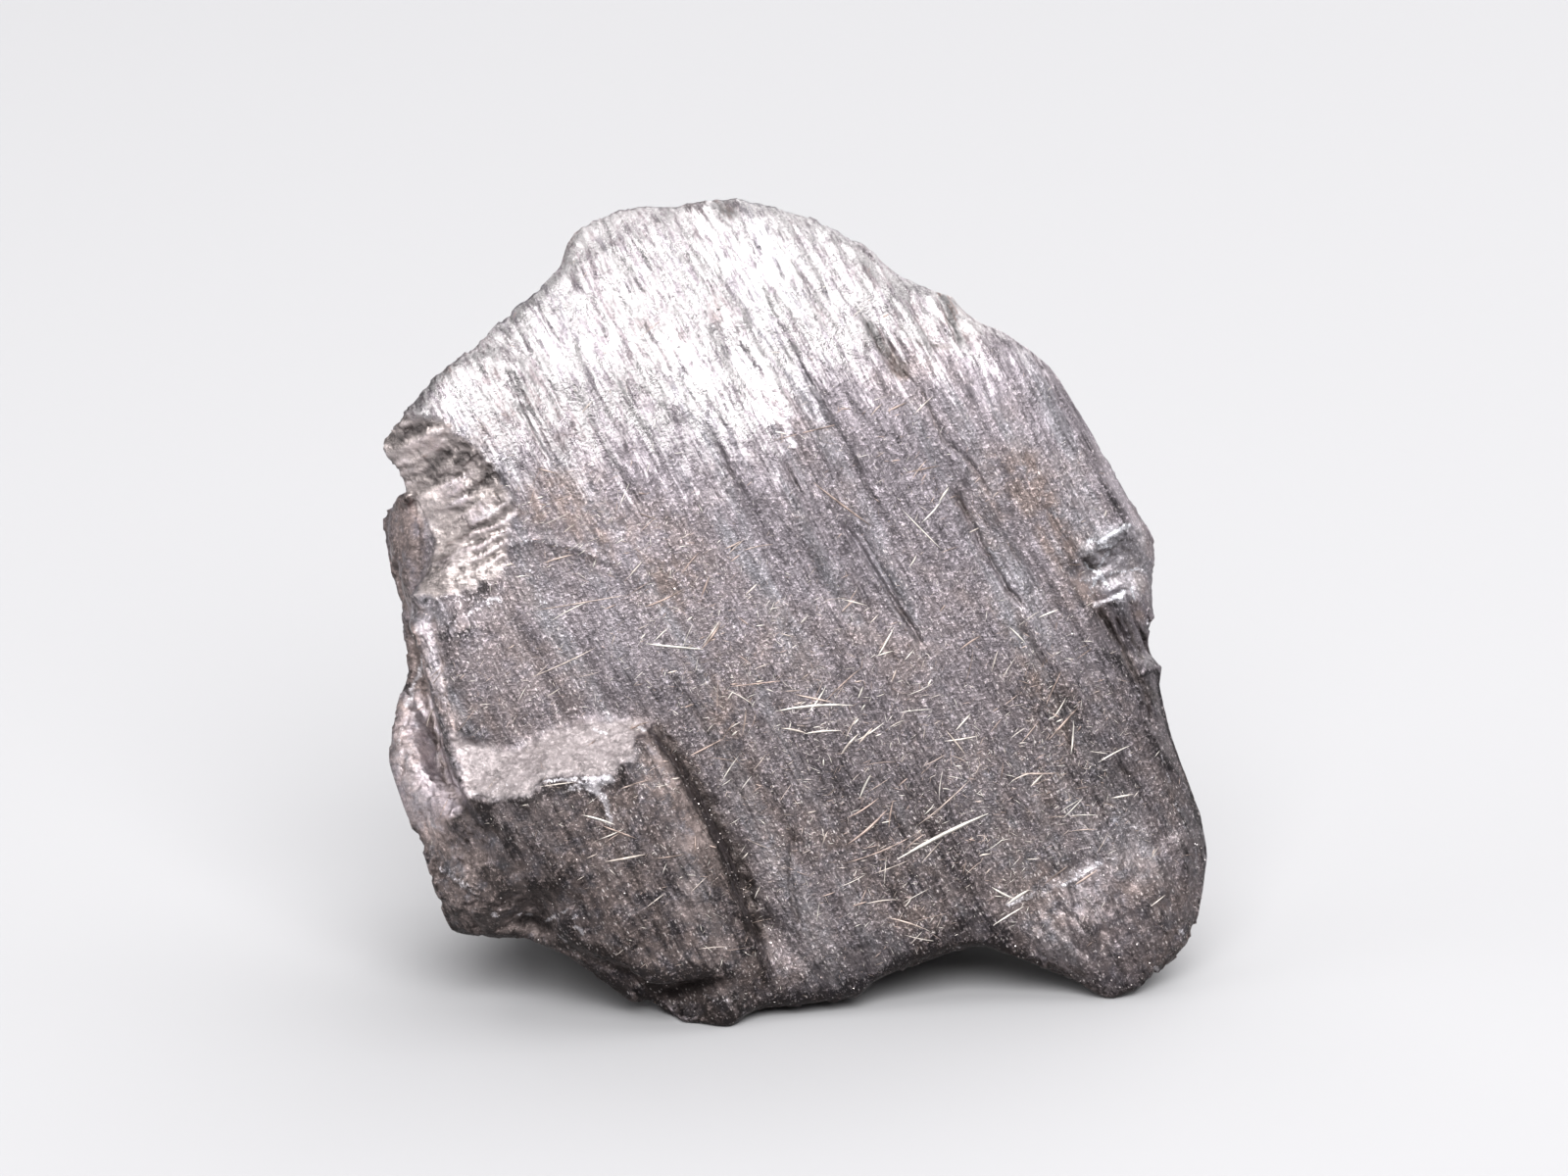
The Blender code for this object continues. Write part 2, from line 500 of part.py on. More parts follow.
def centreOnGround(mesh):
    """Put the origin at the middle of the stone's box, on the ground, and go over to metres."""
    places = np.array([tuple(v.co) for v in mesh.verts])
    low, high = places.min(axis=0), places.max(axis=0)
    middle = Vector(((low[0] + high[0]) / 2, (low[1] + high[1]) / 2, low[2]))
    bmesh.ops.translate(mesh, verts=mesh.verts, vec=-middle)
    bmesh.ops.scale(mesh, verts=mesh.verts, vec=(mm, mm, mm))


def steelGreyMetal():
    """Dark metallic grey with a dull shine."""
    material = bpy.data.materials.new("andorite_grey")
    material.use_nodes = True
    shader = material.node_tree.nodes["Principled BSDF"]
    shader.inputs["Base Color"].default_value = (0.19, 0.18, 0.19, 1)
    shader.inputs["Metallic"].default_value = 0.85
    shader.inputs["Roughness"].default_value = 0.42
    return material


def main():
    for old in list(bpy.data.objects):
        bpy.data.objects.remove(old)
    mesh = buildStone()
    cutFeet(mesh)
    centreOnGround(mesh)
    bmesh.ops.triangulate(mesh, faces=mesh.faces)
    bmesh.ops.recalc_face_normals(mesh, faces=mesh.faces)
    data = bpy.data.meshes.new("andorite_crystal")
    mesh.to_mesh(data)
    mesh.free()
    stone = bpy.data.objects.new("andorite_crystal", data)
    stone.data.materials.append(steelGreyMetal())
    bpy.context.scene.collection.objects.link(stone)


main()
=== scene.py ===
import math

import bpy
import bmesh
import numpy as np
from mathutils import Matrix, Vector
from mathutils.bvhtree import BVHTree


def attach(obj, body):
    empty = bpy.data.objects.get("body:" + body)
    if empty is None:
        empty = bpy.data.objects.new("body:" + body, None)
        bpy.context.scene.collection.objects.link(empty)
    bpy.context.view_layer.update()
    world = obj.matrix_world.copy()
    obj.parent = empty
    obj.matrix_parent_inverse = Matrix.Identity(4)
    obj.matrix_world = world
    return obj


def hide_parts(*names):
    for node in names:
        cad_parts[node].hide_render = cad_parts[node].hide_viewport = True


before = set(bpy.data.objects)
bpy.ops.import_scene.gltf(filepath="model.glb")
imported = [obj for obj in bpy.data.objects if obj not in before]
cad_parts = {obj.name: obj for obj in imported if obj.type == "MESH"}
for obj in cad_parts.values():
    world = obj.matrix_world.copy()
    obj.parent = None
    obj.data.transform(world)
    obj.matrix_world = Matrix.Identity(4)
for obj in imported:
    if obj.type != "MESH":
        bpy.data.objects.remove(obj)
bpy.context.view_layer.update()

mm = 0.001
nodeName = "andorite_crystal"

# How the stone stands. Its face is described in millimetres: u to the right, v up the face, w out of it.
stance = {
    "lean": 18.0,                        # degrees that the broad face leans back
    "origin": (-0.45, -2.051, 14.42),    # where u, v and w are 0, in the row frame, mm
    "striaTurn": -61.0,                  # direction of the striations on the face, degrees from u
}
leanAngle = math.radians(stance["lean"])
standUp = Matrix.Rotation(math.pi / 2 - leanAngle, 3, "X")    # turns face axes to the row's axes
faceAxes = np.array(standUp)
standOrigin = np.array(stance["origin"])


def toFace(points):
    return (points / mm - standOrigin) @ faceAxes


def toRow(points):
    return (points @ faceAxes.T + standOrigin) * mm


def grainAxes(u, v, turn=stance["striaTurn"]):    # along and across the grain
    a = math.radians(turn)
    return u * math.cos(a) + v * math.sin(a), -u * math.sin(a) + v * math.cos(a)


# Numbers over many points at once.

def latticeValue(ix, iy, iz, seed):
    h = (ix * 73856093) ^ (iy * 19349663) ^ (iz * 83492791) ^ (seed * 264435761)
    h = ((h ^ (h >> 13)) * 1274126177) & 0xFFFFFFFF
    h = ((h ^ (h >> 15)) * 2246822519) & 0xFFFFFFFF
    return (h >> 8) / float(1 << 23) - 1.0


def corners(x, y, z):
    low = [np.floor(a) for a in (x, y, z)]
    return [a.astype(np.int64) for a in low], [a - b for a, b in zip((x, y, z), low)]


def lumps(x, y, z, seed):    # smooth noise from -1 to 1, one lump a unit
    (ix, iy, iz), parts = corners(x, y, z)
    sx, sy, sz = (t * t * (3 - 2 * t) for t in parts)
    total = np.zeros_like(x)
    for dx in (0, 1):
        for dy in (0, 1):
            for dz in (0, 1):
                share = (sx if dx else 1 - sx) * (sy if dy else 1 - sy) * (sz if dz else 1 - sz)
                total += share * latticeValue(ix + dx, iy + dy, iz + dz, seed)
    return total


def facets(x, y, z, seed, tilt=1.0):    # each cell a plane of its own slope, and the cell's distance
    (ix, iy, iz), (tx, ty, tz) = corners(x, y, z)
    nearest = np.full_like(x, 9.0)
    height = np.zeros_like(x)
    for dx in (-1, 0, 1):
        for dy in (-1, 0, 1):
            for dz in (-1, 0, 1):
                jx, jy, jz = ix + dx, iy + dy, iz + dz
                ox = dx + 0.5 + 0.42 * latticeValue(jx, jy, jz, seed) - tx
                oy = dy + 0.5 + 0.42 * latticeValue(jx, jy, jz, seed + 1) - ty
                oz = dz + 0.5 + 0.42 * latticeValue(jx, jy, jz, seed + 2) - tz
                far = ox * ox + oy * oy + oz * oz
                slope = (ox * latticeValue(jx, jy, jz, seed + 3) + oy * latticeValue(jx, jy, jz, seed + 4)
                         + oz * latticeValue(jx, jy, jz, seed + 5))
                closer = far < nearest
                nearest = np.where(closer, far, nearest)
                plane = tilt * slope + 0.5 * latticeValue(jx, jy, jz, seed + 6)
                height = np.where(closer, plane, height)
    return height, np.sqrt(nearest)


def ramp(value, start, end):
    t = np.clip((value - start) / (end - start), 0.0, 1.0)
    return t * t * (3 - 2 * t)


def terrace(value, edge=0.75):    # flat steps one unit apart, with a short slope between them
    step = np.floor(value)
    return step + ramp(value - step, edge, 1.0)


def lineAway(line, u, v):    # distance to a line with bends
    nearest = np.full(len(u), 1e9)
    for (x0, y0), (x1, y1) in zip(line, line[1:]):
        dx, dy = x1 - x0, y1 - y0
        t = np.clip(((u - x0) * dx + (v - y0) * dy) / (dx * dx + dy * dy), 0, 1)
        nearest = np.minimum(nearest, np.hypot(u - x0 - t * dx, v - y0 - t * dy))
    return nearest


def insideBy(outline, u, v):    # distance inside an outline, negative outside it
    closed = outline + outline[:1]
    inside = np.zeros(len(u), dtype=bool)
    for (x0, y0), (x1, y1) in zip(closed, closed[1:]):
        if y1 != y0:
            inside ^= ((y0 > v) != (y1 > v)) & (u < x0 + (x1 - x0) * (v - y0) / (y1 - y0))
    nearest = lineAway(closed, u, v)
    return np.where(inside, nearest, -nearest)


# Areas of the face that broke or grew in their own way, as outlines in u and v.
areas = {
    "leftFacet": [(-14.9, 5.9), (-14.0, 7.0), (-12.3, 6.7), (-10.6, 5.3), (-9.7, 3.6), (-10.2, 1.2),
                  (-11.8, 0.5), (-13.4, 0.4), (-12.6, 2.4), (-13.9, 4.5)],
    "sideStrip": [(-15, 3.9), (-13.4, 4.1), (-12.9, 2.4), (-13.5, 0.1), (-12.6, -3.4), (-14.4, -2.4)],
    "sideBulge": [(-14.6, -3.0), (-12.8, -3.2), (-12.3, -5.3), (-11.4, -6.8), (-12.6, -8.4), (-14.2, -7.6)],
    "smoothFace": [(-12.1, -0.9), (-11.7, -0.4), (-10.2, 1.2), (-9.4, 2.2), (-7.9, 2.2), (-5.4, 0.8),
                   (-4.6, -4.0), (-8.2, -4.4), (-10.0, -5.2), (-12.0, -4.4)],
    "ledge": [(-12.0, -4.5), (-10.0, -5.2), (-8.2, -4.4), (-6.8, -4.05), (-5.4, -4.05), (-5.0, -4.4),
              (-5.3, -4.7), (-5.4, -5.5), (-5.9, -5.6), (-6.0, -6.0), (-8.6, -6.15), (-9.1, -6.65),
              (-10.5, -6.9), (-11.4, -6.7)],
    "block": [(-11.4, -6.8), (-10.5, -7.0), (-9.1, -6.75), (-8.6, -6.25), (-6.0, -6.1), (-5.3, -5.6),
              (-4.9, -4.5), (-3.8, -6.0), (-2.5, -8.5), (-1.4, -11.3), (-0.6, -13.6), (-2.0, -15.3),
              (-7.0, -13.9), (-8.6, -11.4), (-9.6, -9.2)],
    "hollow": [(-13.6, -8.2), (-11.5, -7.2), (-9.6, -9.2), (-8.6, -11.4), (-7.0, -13.2), (-12.9, -12.2)],
    "brightPlate": [(-2.9, 10.3), (-1.3, 10.4), (-0.8, 9.2), (-0.1, 7.7), (0.15, 6.9), (0.1, 5.8),
                    (-0.6, 5.9), (-1.6, 7.3), (-2.6, 8.9)],
    "chip": [(10.64, 1.93), (11.14, 2.54), (11.96, 2.93), (12.79, 3.14), (13.21, 2.68), (13.29, 0.71),
             (12.57, 0.21), (11.64, 0.43), (10.93, 1.0)],
    "lobe": [(9.6, -9.9), (12.4, -9.0), (15.9, -8.0), (15.9, -11.5), (12.3, -14.8), (8.8, -13.4)],
}

# Single lines and patches of the face.
grooves = [    # points u, v on the face, half width and depth, mm
    ([(3.14, 10.29), (3.43, 9.46), (3.96, 8.86), (4.43, 8.43)], 0.06, 0.06),
    ([(4.57, 11.43), (4.89, 10.43), (5.29, 9.82), (5.71, 9.54)], 0.06, 0.07),
    ([(5.54, 11.5), (5.93, 10.71), (6.29, 10.07), (6.71, 9.96)], 0.06, 0.08),
    ([(5.0, 7.93), (5.79, 6.07), (6.86, 5.18), (7.39, 4.21)], 0.053, 0.1),
    ([(6.29, 4.11), (7.0, 2.79), (7.25, 2.25), (7.46, 1.89), (8.21, 0.61), (8.68, 0.11)], 0.068, 0.16),
    ([(8.29, 2.18), (9.25, 0.54)], 0.053, 0.1),
    ([(8.75, 5.68), (9.18, 5.04)], 0.05, 0.08),
    ([(9.5, 3.75), (10.0, 2.86), (10.82, 1.71)], 0.06, 0.12),
    ([(11.57, -0.14), (12.32, -1.32), (12.86, -2.57)], 0.075, 0.22),
    ([(12.54, 0.39), (13.07, -0.82), (13.43, -1.71)], 0.06, 0.18),
    ([(12.0, -0.07), (12.5, -1.14)], 0.05, 0.12),
    ([(2.25, 2.96), (3.0, 1.79), (3.75, 0.64), (4.64, -0.68), (5.0, -1.29)], 0.09, 0.13),
    ([(2.68, 2.86), (3.57, 1.43), (4.36, 0.07)], 0.05, 0.08),
    ([(0.0, 5.36), (1.07, 3.04), (1.79, 1.61)], 0.075, 0.07),
    ([(0.32, -8.36), (0.21, -10.0), (0.54, -11.5)], 0.075, 0.1),
    ([(8.57, -0.71), (9.82, -2.86), (10.71, -5.36)], 0.06, 0.08),
    ([(-3.93, -2.5), (-2.5, -5.0), (-0.89, -8.21)], 0.068, 0.07),
    ([(12.21, -0.5), (13.14, -2.86), (13.57, -4.46)], 0.068, 0.14),
    ([(-10.18, 8.75), (-9.11, 6.43), (-8.57, 5.36)], 0.05, 0.07),
    ([(-6.71, 14.21), (-5.71, 12.14)], 0.053, 0.1),
    ([(-3.57, 12.79), (-2.57, 11.43), (-2.32, 10.71)], 0.05, 0.05),
    ([(10.96, 1.68), (11.29, 1.43), (11.79, 1.5)], 0.075, 0.16),
    ([(11.25, 0.71), (11.79, 1.07), (12.32, 1.25)], 0.06, 0.12),
]
ridges = [    # points u, v on the face, half width and height, mm
    ([(3.5, 10.5), (3.93, 9.64), (4.29, 9.07)], 0.07, 0.14),
    ([(5.29, 11.32), (5.71, 10.64), (6.11, 10.04)], 0.07, 0.12),
    ([(11.46, 2.36), (12.04, 2.71), (12.57, 3.0)], 0.12, 0.16),
    ([(11.39, 0.11), (11.93, 0.29), (12.5, 0.57)], 0.1, 0.14),
    ([(10.93, 1.93), (11.46, 2.14), (11.86, 2.25)], 0.07, 0.08),
    ([(12.32, 0.71), (12.5, -0.71), (12.93, -1.71)], 0.07, 0.1),
    ([(2.79, 0.57), (3.82, 0.14), (4.5, -0.79)], 0.05, 0.05),
    ([(-10.39, 1.89), (-9.46, 2.43), (-8.86, 2.46), (-7.5, 2.14), (-6.43, 1.71)], 0.09, 0.08),
    ([(-13.29, -0.07), (-12.86, -1.07), (-12.43, -2.86), (-11.86, -5.0), (-11.36, -6.64)], 0.16, 0.05),
    ([(-12.5, -9.29), (-11.79, -9.86), (-11.07, -10.36)], 0.1, 0.1),
]
paleAndHighlightStrokes = [    # paler marks and painted glints and highlights: points u, v on the face, half width in mm and strength
    ([(-2.07, 10.18), (-1.43, 9.0), (-0.86, 7.68), (-0.5, 6.8)], 0.6, 0.65),
    ([(-3.9, 9.6), (-2.9, 8.1), (-1.9, 6.8)], 0.8, 0.55),
    ([(-0.71, 8.93), (0.0, 7.14), (0.28, 5.9)], 0.2, 0.8),
    ([(-3.04, 14.46), (-2.5, 12.86), (-1.25, 11.79)], 0.9, 0.5),
    ([(-0.89, 13.93), (0.0, 11.96)], 0.8, 0.5),
    ([(1.43, 14.11), (1.79, 12.86)], 0.8, 0.3),
    ([(-5.71, 10.36), (-4.29, 7.86)], 1.6, 0.25),
    ([(-10.71, 9.82), (-8.57, 9.64), (-6.25, 9.57)], 0.4, 0.45),
    ([(3.5, 10.5), (3.93, 9.64), (4.29, 9.07)], 0.13, 0.9),
    ([(5.29, 11.32), (5.71, 10.64), (6.11, 10.04)], 0.12, 0.9),
    ([(11.46, 2.36), (12.04, 2.71), (12.57, 3.0)], 0.12, 1.0),
    ([(10.96, 2.46), (11.18, 2.46)], 0.1, 1.0),
    ([(11.39, 0.11), (11.93, 0.29), (12.5, 0.57)], 0.12, 0.8),
    ([(10.93, 1.93), (11.46, 2.14), (11.86, 2.25)], 0.12, 0.5),
    ([(12.32, 0.71), (12.5, -0.71), (12.93, -1.71)], 0.1, 0.4),
    ([(-8.57, -6.2), (-7.5, -6.12), (-6.2, -6.05)], 0.06, 0.9),
    ([(-7.7, -6.45), (-6.79, -6.3), (-6.2, -6.2)], 0.2, 0.8),
    ([(-6.85, -6.5), (-6.5, -6.8), (-6.3, -7.2), (-6.22, -7.7)], 0.17, 0.85),
    ([(-9.64, -11.11), (-9.55, -11.1)], 0.07, 1.0),
    ([(-9.25, -11.11), (-9.15, -11.1)], 0.08, 1.0),
    ([(-8.6, -11.3), (-8.2, -11.05)], 0.07, 0.9),
    ([(-7.95, -10.95), (-7.75, -10.86)], 0.06, 1.0),
    ([(-7.6, -11.15), (-7.35, -10.95)], 0.11, 0.75),
    ([(-7.5, -11.45), (-7.25, -11.75)], 0.07, 1.0),
    ([(-8.3, -11.6), (-8.15, -11.5)], 0.05, 1.0),
    ([(-8.14, -11.82), (-7.86, -12.07)], 0.06, 0.8),
    ([(-12.44, 0.36), (-11.4, 0.3), (-10.5, 0.39)], 0.22, 0.35),
    ([(-12.07, -0.64), (-11.1, 0.0), (-10.25, 0.36)], 0.07, 0.6),
    ([(11.0, 1.64), (11.54, 1.14), (11.96, 0.64)], 0.06, 1.0),
    ([(11.96, 2.21), (11.57, 1.5), (11.18, 0.46)], 0.06, 0.9),
    ([(10.79, 0.93), (11.9, 1.25), (12.96, 1.43)], 0.05, 0.9),
    ([(-12.43, -9.43), (-11.64, -9.93), (-11.0, -10.43)], 0.2, 0.6),
    ([(12.14, -8.21), (13.04, -8.04), (13.39, -8.21)], 0.5, 0.35),
    ([(12.5, -5.29), (13.07, -5.57)], 0.35, 0.4),
    ([(8.21, -10.79), (9.0, -10.5)], 0.16, 0.8),
    ([(10.07, -10.21), (11.07, -9.64), (11.96, -9.07)], 0.12, 0.5),
    ([(-9.29, 1.61), (-8.57, 0.0), (-7.68, -1.07)], 0.3, 0.4),
    ([(-8.04, 1.07), (-7.14, -0.71)], 0.15, 0.4),
    ([(-13.46, 5.71), (-13.0, 5.5)], 0.12, 0.9),
    ([(-12.68, 6.5), (-12.39, 6.32)], 0.08, 0.9),
    ([(-14.54, 5.93), (-14.43, 5.82)], 0.16, 1.0),
    ([(-11.21, 3.96), (-10.32, 4.36)], 0.06, 0.9),
    ([(-10.93, 3.46), (-10.07, 3.96)], 0.06, 0.9),
    ([(-12.04, 2.96), (-10.86, 3.29), (-10.25, 3.46)], 0.1, 0.9),
    ([(-11.46, 2.29), (-10.75, 2.61), (-10.14, 2.79)], 0.09, 0.9),
    ([(-12.39, 1.39), (-11.43, 1.89)], 0.06, 0.5),
    ([(-13.21, 3.57), (-11.96, 3.86)], 0.25, 0.6),
    ([(-12.86, 3.04), (-12.64, 2.86)], 0.12, 0.7),
    ([(-13.64, 5.36), (-12.86, 5.0)], 0.15, 0.6),
    ([(-12.32, 0.71), (-10.54, 0.89)], 0.3, 0.3),
    ([(-14.14, -1.07), (-14.21, -2.5), (-14.36, -3.57)], 0.18, 0.8),
    ([(-14.46, 2.86), (-14.29, 0.71)], 0.25, 0.3),
    ([(-11.43, -6.71), (-10.71, -6.64), (-10.0, -6.36), (-8.75, -6.25)], 0.05, 0.5),
    ([(-6.86, -4.36), (-6.5, -4.54)], 0.08, 0.8),
    ([(-5.18, -4.29), (-5.0, -4.43)], 0.08, 0.8),
    ([(-2.96, -13.93), (-2.32, -14.29), (-1.43, -14.0)], 0.12, 0.5),
    ([(-10.54, -11.07), (-10.29, -11.14)], 0.1, 0.9),
    ([(-5.68, -14.14), (-5.64, -14.36)], 0.08, 1.0),
    ([(12.75, 0.71), (12.82, 0.29)], 0.09, 1.0),
    ([(13.32, -0.5), (13.39, -0.79)], 0.1, 1.0),
    ([(3.96, 8.82), (4.0, 8.75)], 0.08, 1.0),
    ([(3.68, 8.04), (4.11, 7.93)], 0.1, 0.3),
    ([(5.71, 3.86), (5.93, 4.29)], 0.06, 0.9),
    ([(6.07, 4.71), (6.21, 4.61)], 0.09, 1.0),
    ([(5.0, 6.43), (5.29, 6.43)], 0.05, 0.9),
    ([(14.54, -11.86), (14.64, -11.96)], 0.12, 1.0),
    ([(13.64, -13.21), (13.75, -13.36)], 0.12, 1.0),
    ([(6.36, -12.36), (6.46, -12.43)], 0.06, 0.8),
    ([(7.43, 2.14), (7.57, 2.0)], 0.08, 1.0),
    ([(-10.2, 2.0), (-9.2, 2.45), (-8.2, 2.25), (-6.9, 1.9), (-5.9, 1.5)], 0.05, 0.6),
    ([(13.79, -5.36), (14.14, -6.43)], 0.1, 0.6),
    ([(14.36, -7.07), (14.79, -8.21)], 0.1, 0.6),
    ([(15.07, -8.79), (15.21, -9.86)], 0.1, 0.6),
    ([(12.79, -2.86), (13.07, -3.43)], 0.1, 0.6),
    ([(-13.75, -3.57), (-13.43, -2.5), (-13.18, -1.71)], 0.14, 0.7),
    ([(-14.04, -5.0), (-13.79, -4.0)], 0.12, 0.5),
    ([(9.5, -10.36), (10.36, -9.75), (11.43, -9.21)], 0.2, 0.4),
]
brownStrokes = [    # points u, v on the face, half width in mm and strength
    ([(8.57, 4.64), (9.82, 2.68), (10.89, 0.36)], 0.9, 1.0),
    ([(7.14, 5.36), (8.21, 3.57)], 0.5, 0.5),
    ([(6.25, 4.29), (7.5, 2.14)], 0.35, 0.6),
    ([(12.89, 1.61), (12.96, 1.0), (13.14, -0.18)], 0.3, 1.6),
    ([(-8.57, 4.11), (-6.43, 2.68), (-4.29, 1.07)], 0.9, 1.0),
    ([(-10.0, 3.57), (-9.11, 3.21)], 0.5, 0.6),
    ([(-5.18, -4.46), (-3.93, -6.07), (-3.04, -8.21), (-2.32, -9.64)], 0.5, 1.3),
    ([(-12.86, 8.04), (-10.71, 9.64)], 0.6, 0.6),
    ([(-3.57, 12.79), (-2.57, 11.43), (-2.32, 10.71)], 0.25, 0.9),
    ([(-2.21, 14.57), (-1.96, 14.39)], 0.3, 1.6),
    ([(0.0, 11.79), (1.07, 10.36)], 0.5, 0.5),
    ([(3.21, 10.18), (4.29, 8.57)], 0.3, 1.0),
    ([(5.89, 11.43), (6.43, 10.18)], 0.3, 1.0),
    ([(-3.93, 0.71), (-2.14, -3.57), (0.0, -8.57)], 0.8, 0.6),
    ([(2.14, 0.71), (4.29, -2.86)], 0.7, 0.4),
    ([(7.5, 0.0), (10.36, -5.0)], 1.0, 0.5),
    ([(11.79, -2.86), (13.93, -7.5)], 0.7, 0.6),
    ([(12.5, 5.36), (13.39, 2.14)], 0.3, 0.8),
    ([(-12.14, -3.57), (-10.0, -4.29)], 0.9, 0.6),
    ([(-12.86, -8.21), (-10.0, -11.07)], 1.0, 0.4),
    ([(-7.14, -8.93), (-3.57, -12.14)], 1.2, 0.4),
    ([(2.86, -8.21), (5.71, -11.79)], 1.0, 0.4),
    ([(-14.36, 6.43), (-11.79, 3.57)], 1.2, 0.5),
    ([(-14.18, 3.57), (-13.86, -3.57)], 0.4, 0.8),
]
darkAndShadeStrokes = [    # darker marks and painted shade in pits, grooves, the channel, the overhang and between the ripples: points u, v on the face, half width in mm and strength
    ([(3.07, 10.36), (3.32, 9.86), (3.54, 9.57)], 0.14, 0.9),
    ([(3.64, 9.36), (3.93, 8.93), (4.14, 8.71)], 0.17, 1.0),
    ([(4.21, 8.86), (4.43, 8.43)], 0.08, 0.9),
    ([(2.86, 10.07), (3.0, 9.57)], 0.12, 0.5),
    ([(4.25, 10.29), (4.61, 9.82), (5.14, 9.57), (6.04, 9.5)], 0.07, 0.8),
    ([(5.86, 11.32), (6.07, 10.64), (6.36, 9.75)], 0.13, 0.9),
    ([(-2.54, 14.61), (-2.21, 14.43), (-1.86, 14.39)], 0.16, 0.9),
    ([(-13.29, 0.07), (-13.14, -0.14)], 0.16, 1.0),
    ([(-12.14, -11.68), (-11.25, -11.86), (-9.82, -11.96)], 0.16, 0.8),
    ([(-9.43, -11.36), (-9.0, -11.21), (-8.57, -11.57)], 0.22, 1.0),
    ([(-4.86, -13.86), (-3.93, -14.0), (-2.93, -13.68)], 0.26, 1.0),
    ([(-4.5, -4.5), (-3.55, -6.0), (-2.33, -7.96), (-1.45, -9.75), (-0.95, -11.57)], 0.4, 0.85),
    ([(-14.11, 6.57), (-13.71, 6.5)], 0.08, 0.8),
    ([(-12.64, 6.57), (-12.04, 6.54)], 0.08, 0.8),
    ([(-11.18, 3.54), (-10.36, 4.07)], 0.05, 0.7),
    ([(-10.89, 3.04), (-10.11, 3.61)], 0.05, 0.7),
    ([(-11.79, 2.43), (-10.71, 2.86), (-10.21, 3.07)], 0.06, 0.8),
    ([(-12.32, 1.61), (-11.43, 2.07), (-10.54, 2.43)], 0.05, 0.6),
    ([(-12.57, 3.75), (-11.96, 4.29), (-11.5, 4.36)], 0.07, 0.5),
    ([(-12.32, 4.64), (-12.86, 4.46)], 0.08, 0.4),
    ([(11.57, -0.21), (12.36, -1.43), (12.86, -2.64)], 0.12, 0.8),
    ([(11.07, 1.54), (11.5, 1.32)], 0.12, 0.6),
    ([(12.5, -0.43), (13.14, -1.86)], 0.08, 0.6),
    ([(12.86, -2.5), (13.29, -2.86), (13.57, -3.39)], 0.14, 0.6),
    ([(-10.36, -5.39), (-10.21, -5.46)], 0.05, 0.7),
    ([(-12.61, -0.29), (-12.21, -2.86), (-11.64, -5.36), (-11.21, -6.64)], 0.07, 0.5),
    ([(-13.64, -0.71), (-13.14, -2.86), (-12.64, -5.0), (-12.21, -6.43), (-11.43, -7.21)], 0.12, 0.7),
    ([(-12.32, -7.71), (-11.43, -7.43), (-10.71, -6.96)], 0.14, 0.5),
    ([(12.04, -5.71), (12.5, -6.07), (13.04, -5.93)], 0.14, 0.4),
]
litStrokes = [    # painted light, and painted shade where the change is negative: points u, v on the face, half width in mm and change of value
    ([(-4.7, -4.6), (-3.9, -6.5), (-3.2, -8.4)], 0.5, 0.09),
    ([(-12.6, 6.4), (-13.6, 5.9)], 0.8, 0.12),
    ([(-12.6, 4.4), (-13.4, 3.4)], 0.4, 0.15),
    ([(-12.4, 1.3), (-10.9, 0.9)], 0.6, -0.13),
    ([(-9.3, 3.6), (-7.0, 2.9), (-5.4, 2.4)], 0.9, 0.06),
    ([(9.6, -2.9), (11.4, -6.4)], 1.6, -0.03),
    ([(-13.15, -3.6), (-12.95, -5.4)], 0.35, 0.2),
    ([(-8.0, 12.5), (-6.7, 14.1), (-5.0, 14.5)], 0.4, 0.1),
    ([(1.6, -5.7), (5.7, -9.3)], 2.2, -0.02),
    ([(6.4, 9.6), (8.9, 6.8)], 1.0, 0.02),
]
channelLine = [    # the channel beside the block, as points u, v, half width in mm and strength
    ([(-4.8, -4.2), (-3.61, -6.0), (-2.39, -7.96), (-1.5, -9.75), (-0.9, -12.2)], 0.55, 1.0),
]
rungLine = [    # painted highlight rungs on the edge of the thin strip, in the same form
    ([(-13.29, -0.07), (-12.86, -1.07), (-12.5, -2.5)], 0.36, 1.1),
    ([(-12.5, -2.5), (-11.86, -5.0), (-11.36, -6.64)], 0.24, 0.85),
]
easedSteps = [    # points u, v on the face, half width in mm and strength
    ([(-10.0, 2.0), (-8.9, 2.5), (-7.9, 2.4), (-6.2, 1.7), (-4.2, 0.6), (-3.6, -1.5)], 0.9, 1.0),
    ([(-8.0, 1.0), (-6.2, -1.4)], 0.9, 1.0),
    ([(-10.9, 9.9), (-9.0, 9.5), (-7.2, 9.3), (-6.4, 9.9)], 0.5, 0.8),
    ([(-2.9, 10.0), (-2.9, 10.5), (-1.4, 10.5)], 0.4, 0.8),
    ([(-13.0, 0.05), (-12.2, 0.1), (-11.0, 0.3)], 0.4, 0.7),
]

# Blocks added under the skin, as the corners u, v, w of a convex body.
fillers = [
    [(-12.7, 3.7, -0.9), (-12.3, 2.4, -0.75), (-12.6, 1.2, -0.5), (-13.1, 0.2, -1.2), (-13.4, 4.3, -1.1),
     (-14.0, 4.15, -1.9), (-14.55, 3.4, -3.0), (-14.15, 2.2, -3.1), (-13.55, 0.3, -3.3), (-13.3, -0.5, -2.6),
     (-12.5, 3.6, -4.2), (-12.5, 0.6, -4.2), (-14.2, 3.3, -4.2), (-13.4, 0.6, -4.2)],
]


def strokeSum(strokes, u, v):    # the strokes' strengths, each fading away from its line
    total = np.zeros(len(u))
    for points, halfWidth, strength in strokes:
        total += strength * np.exp(-(lineAway(points, u, v) / halfWidth) ** 2)
    return total


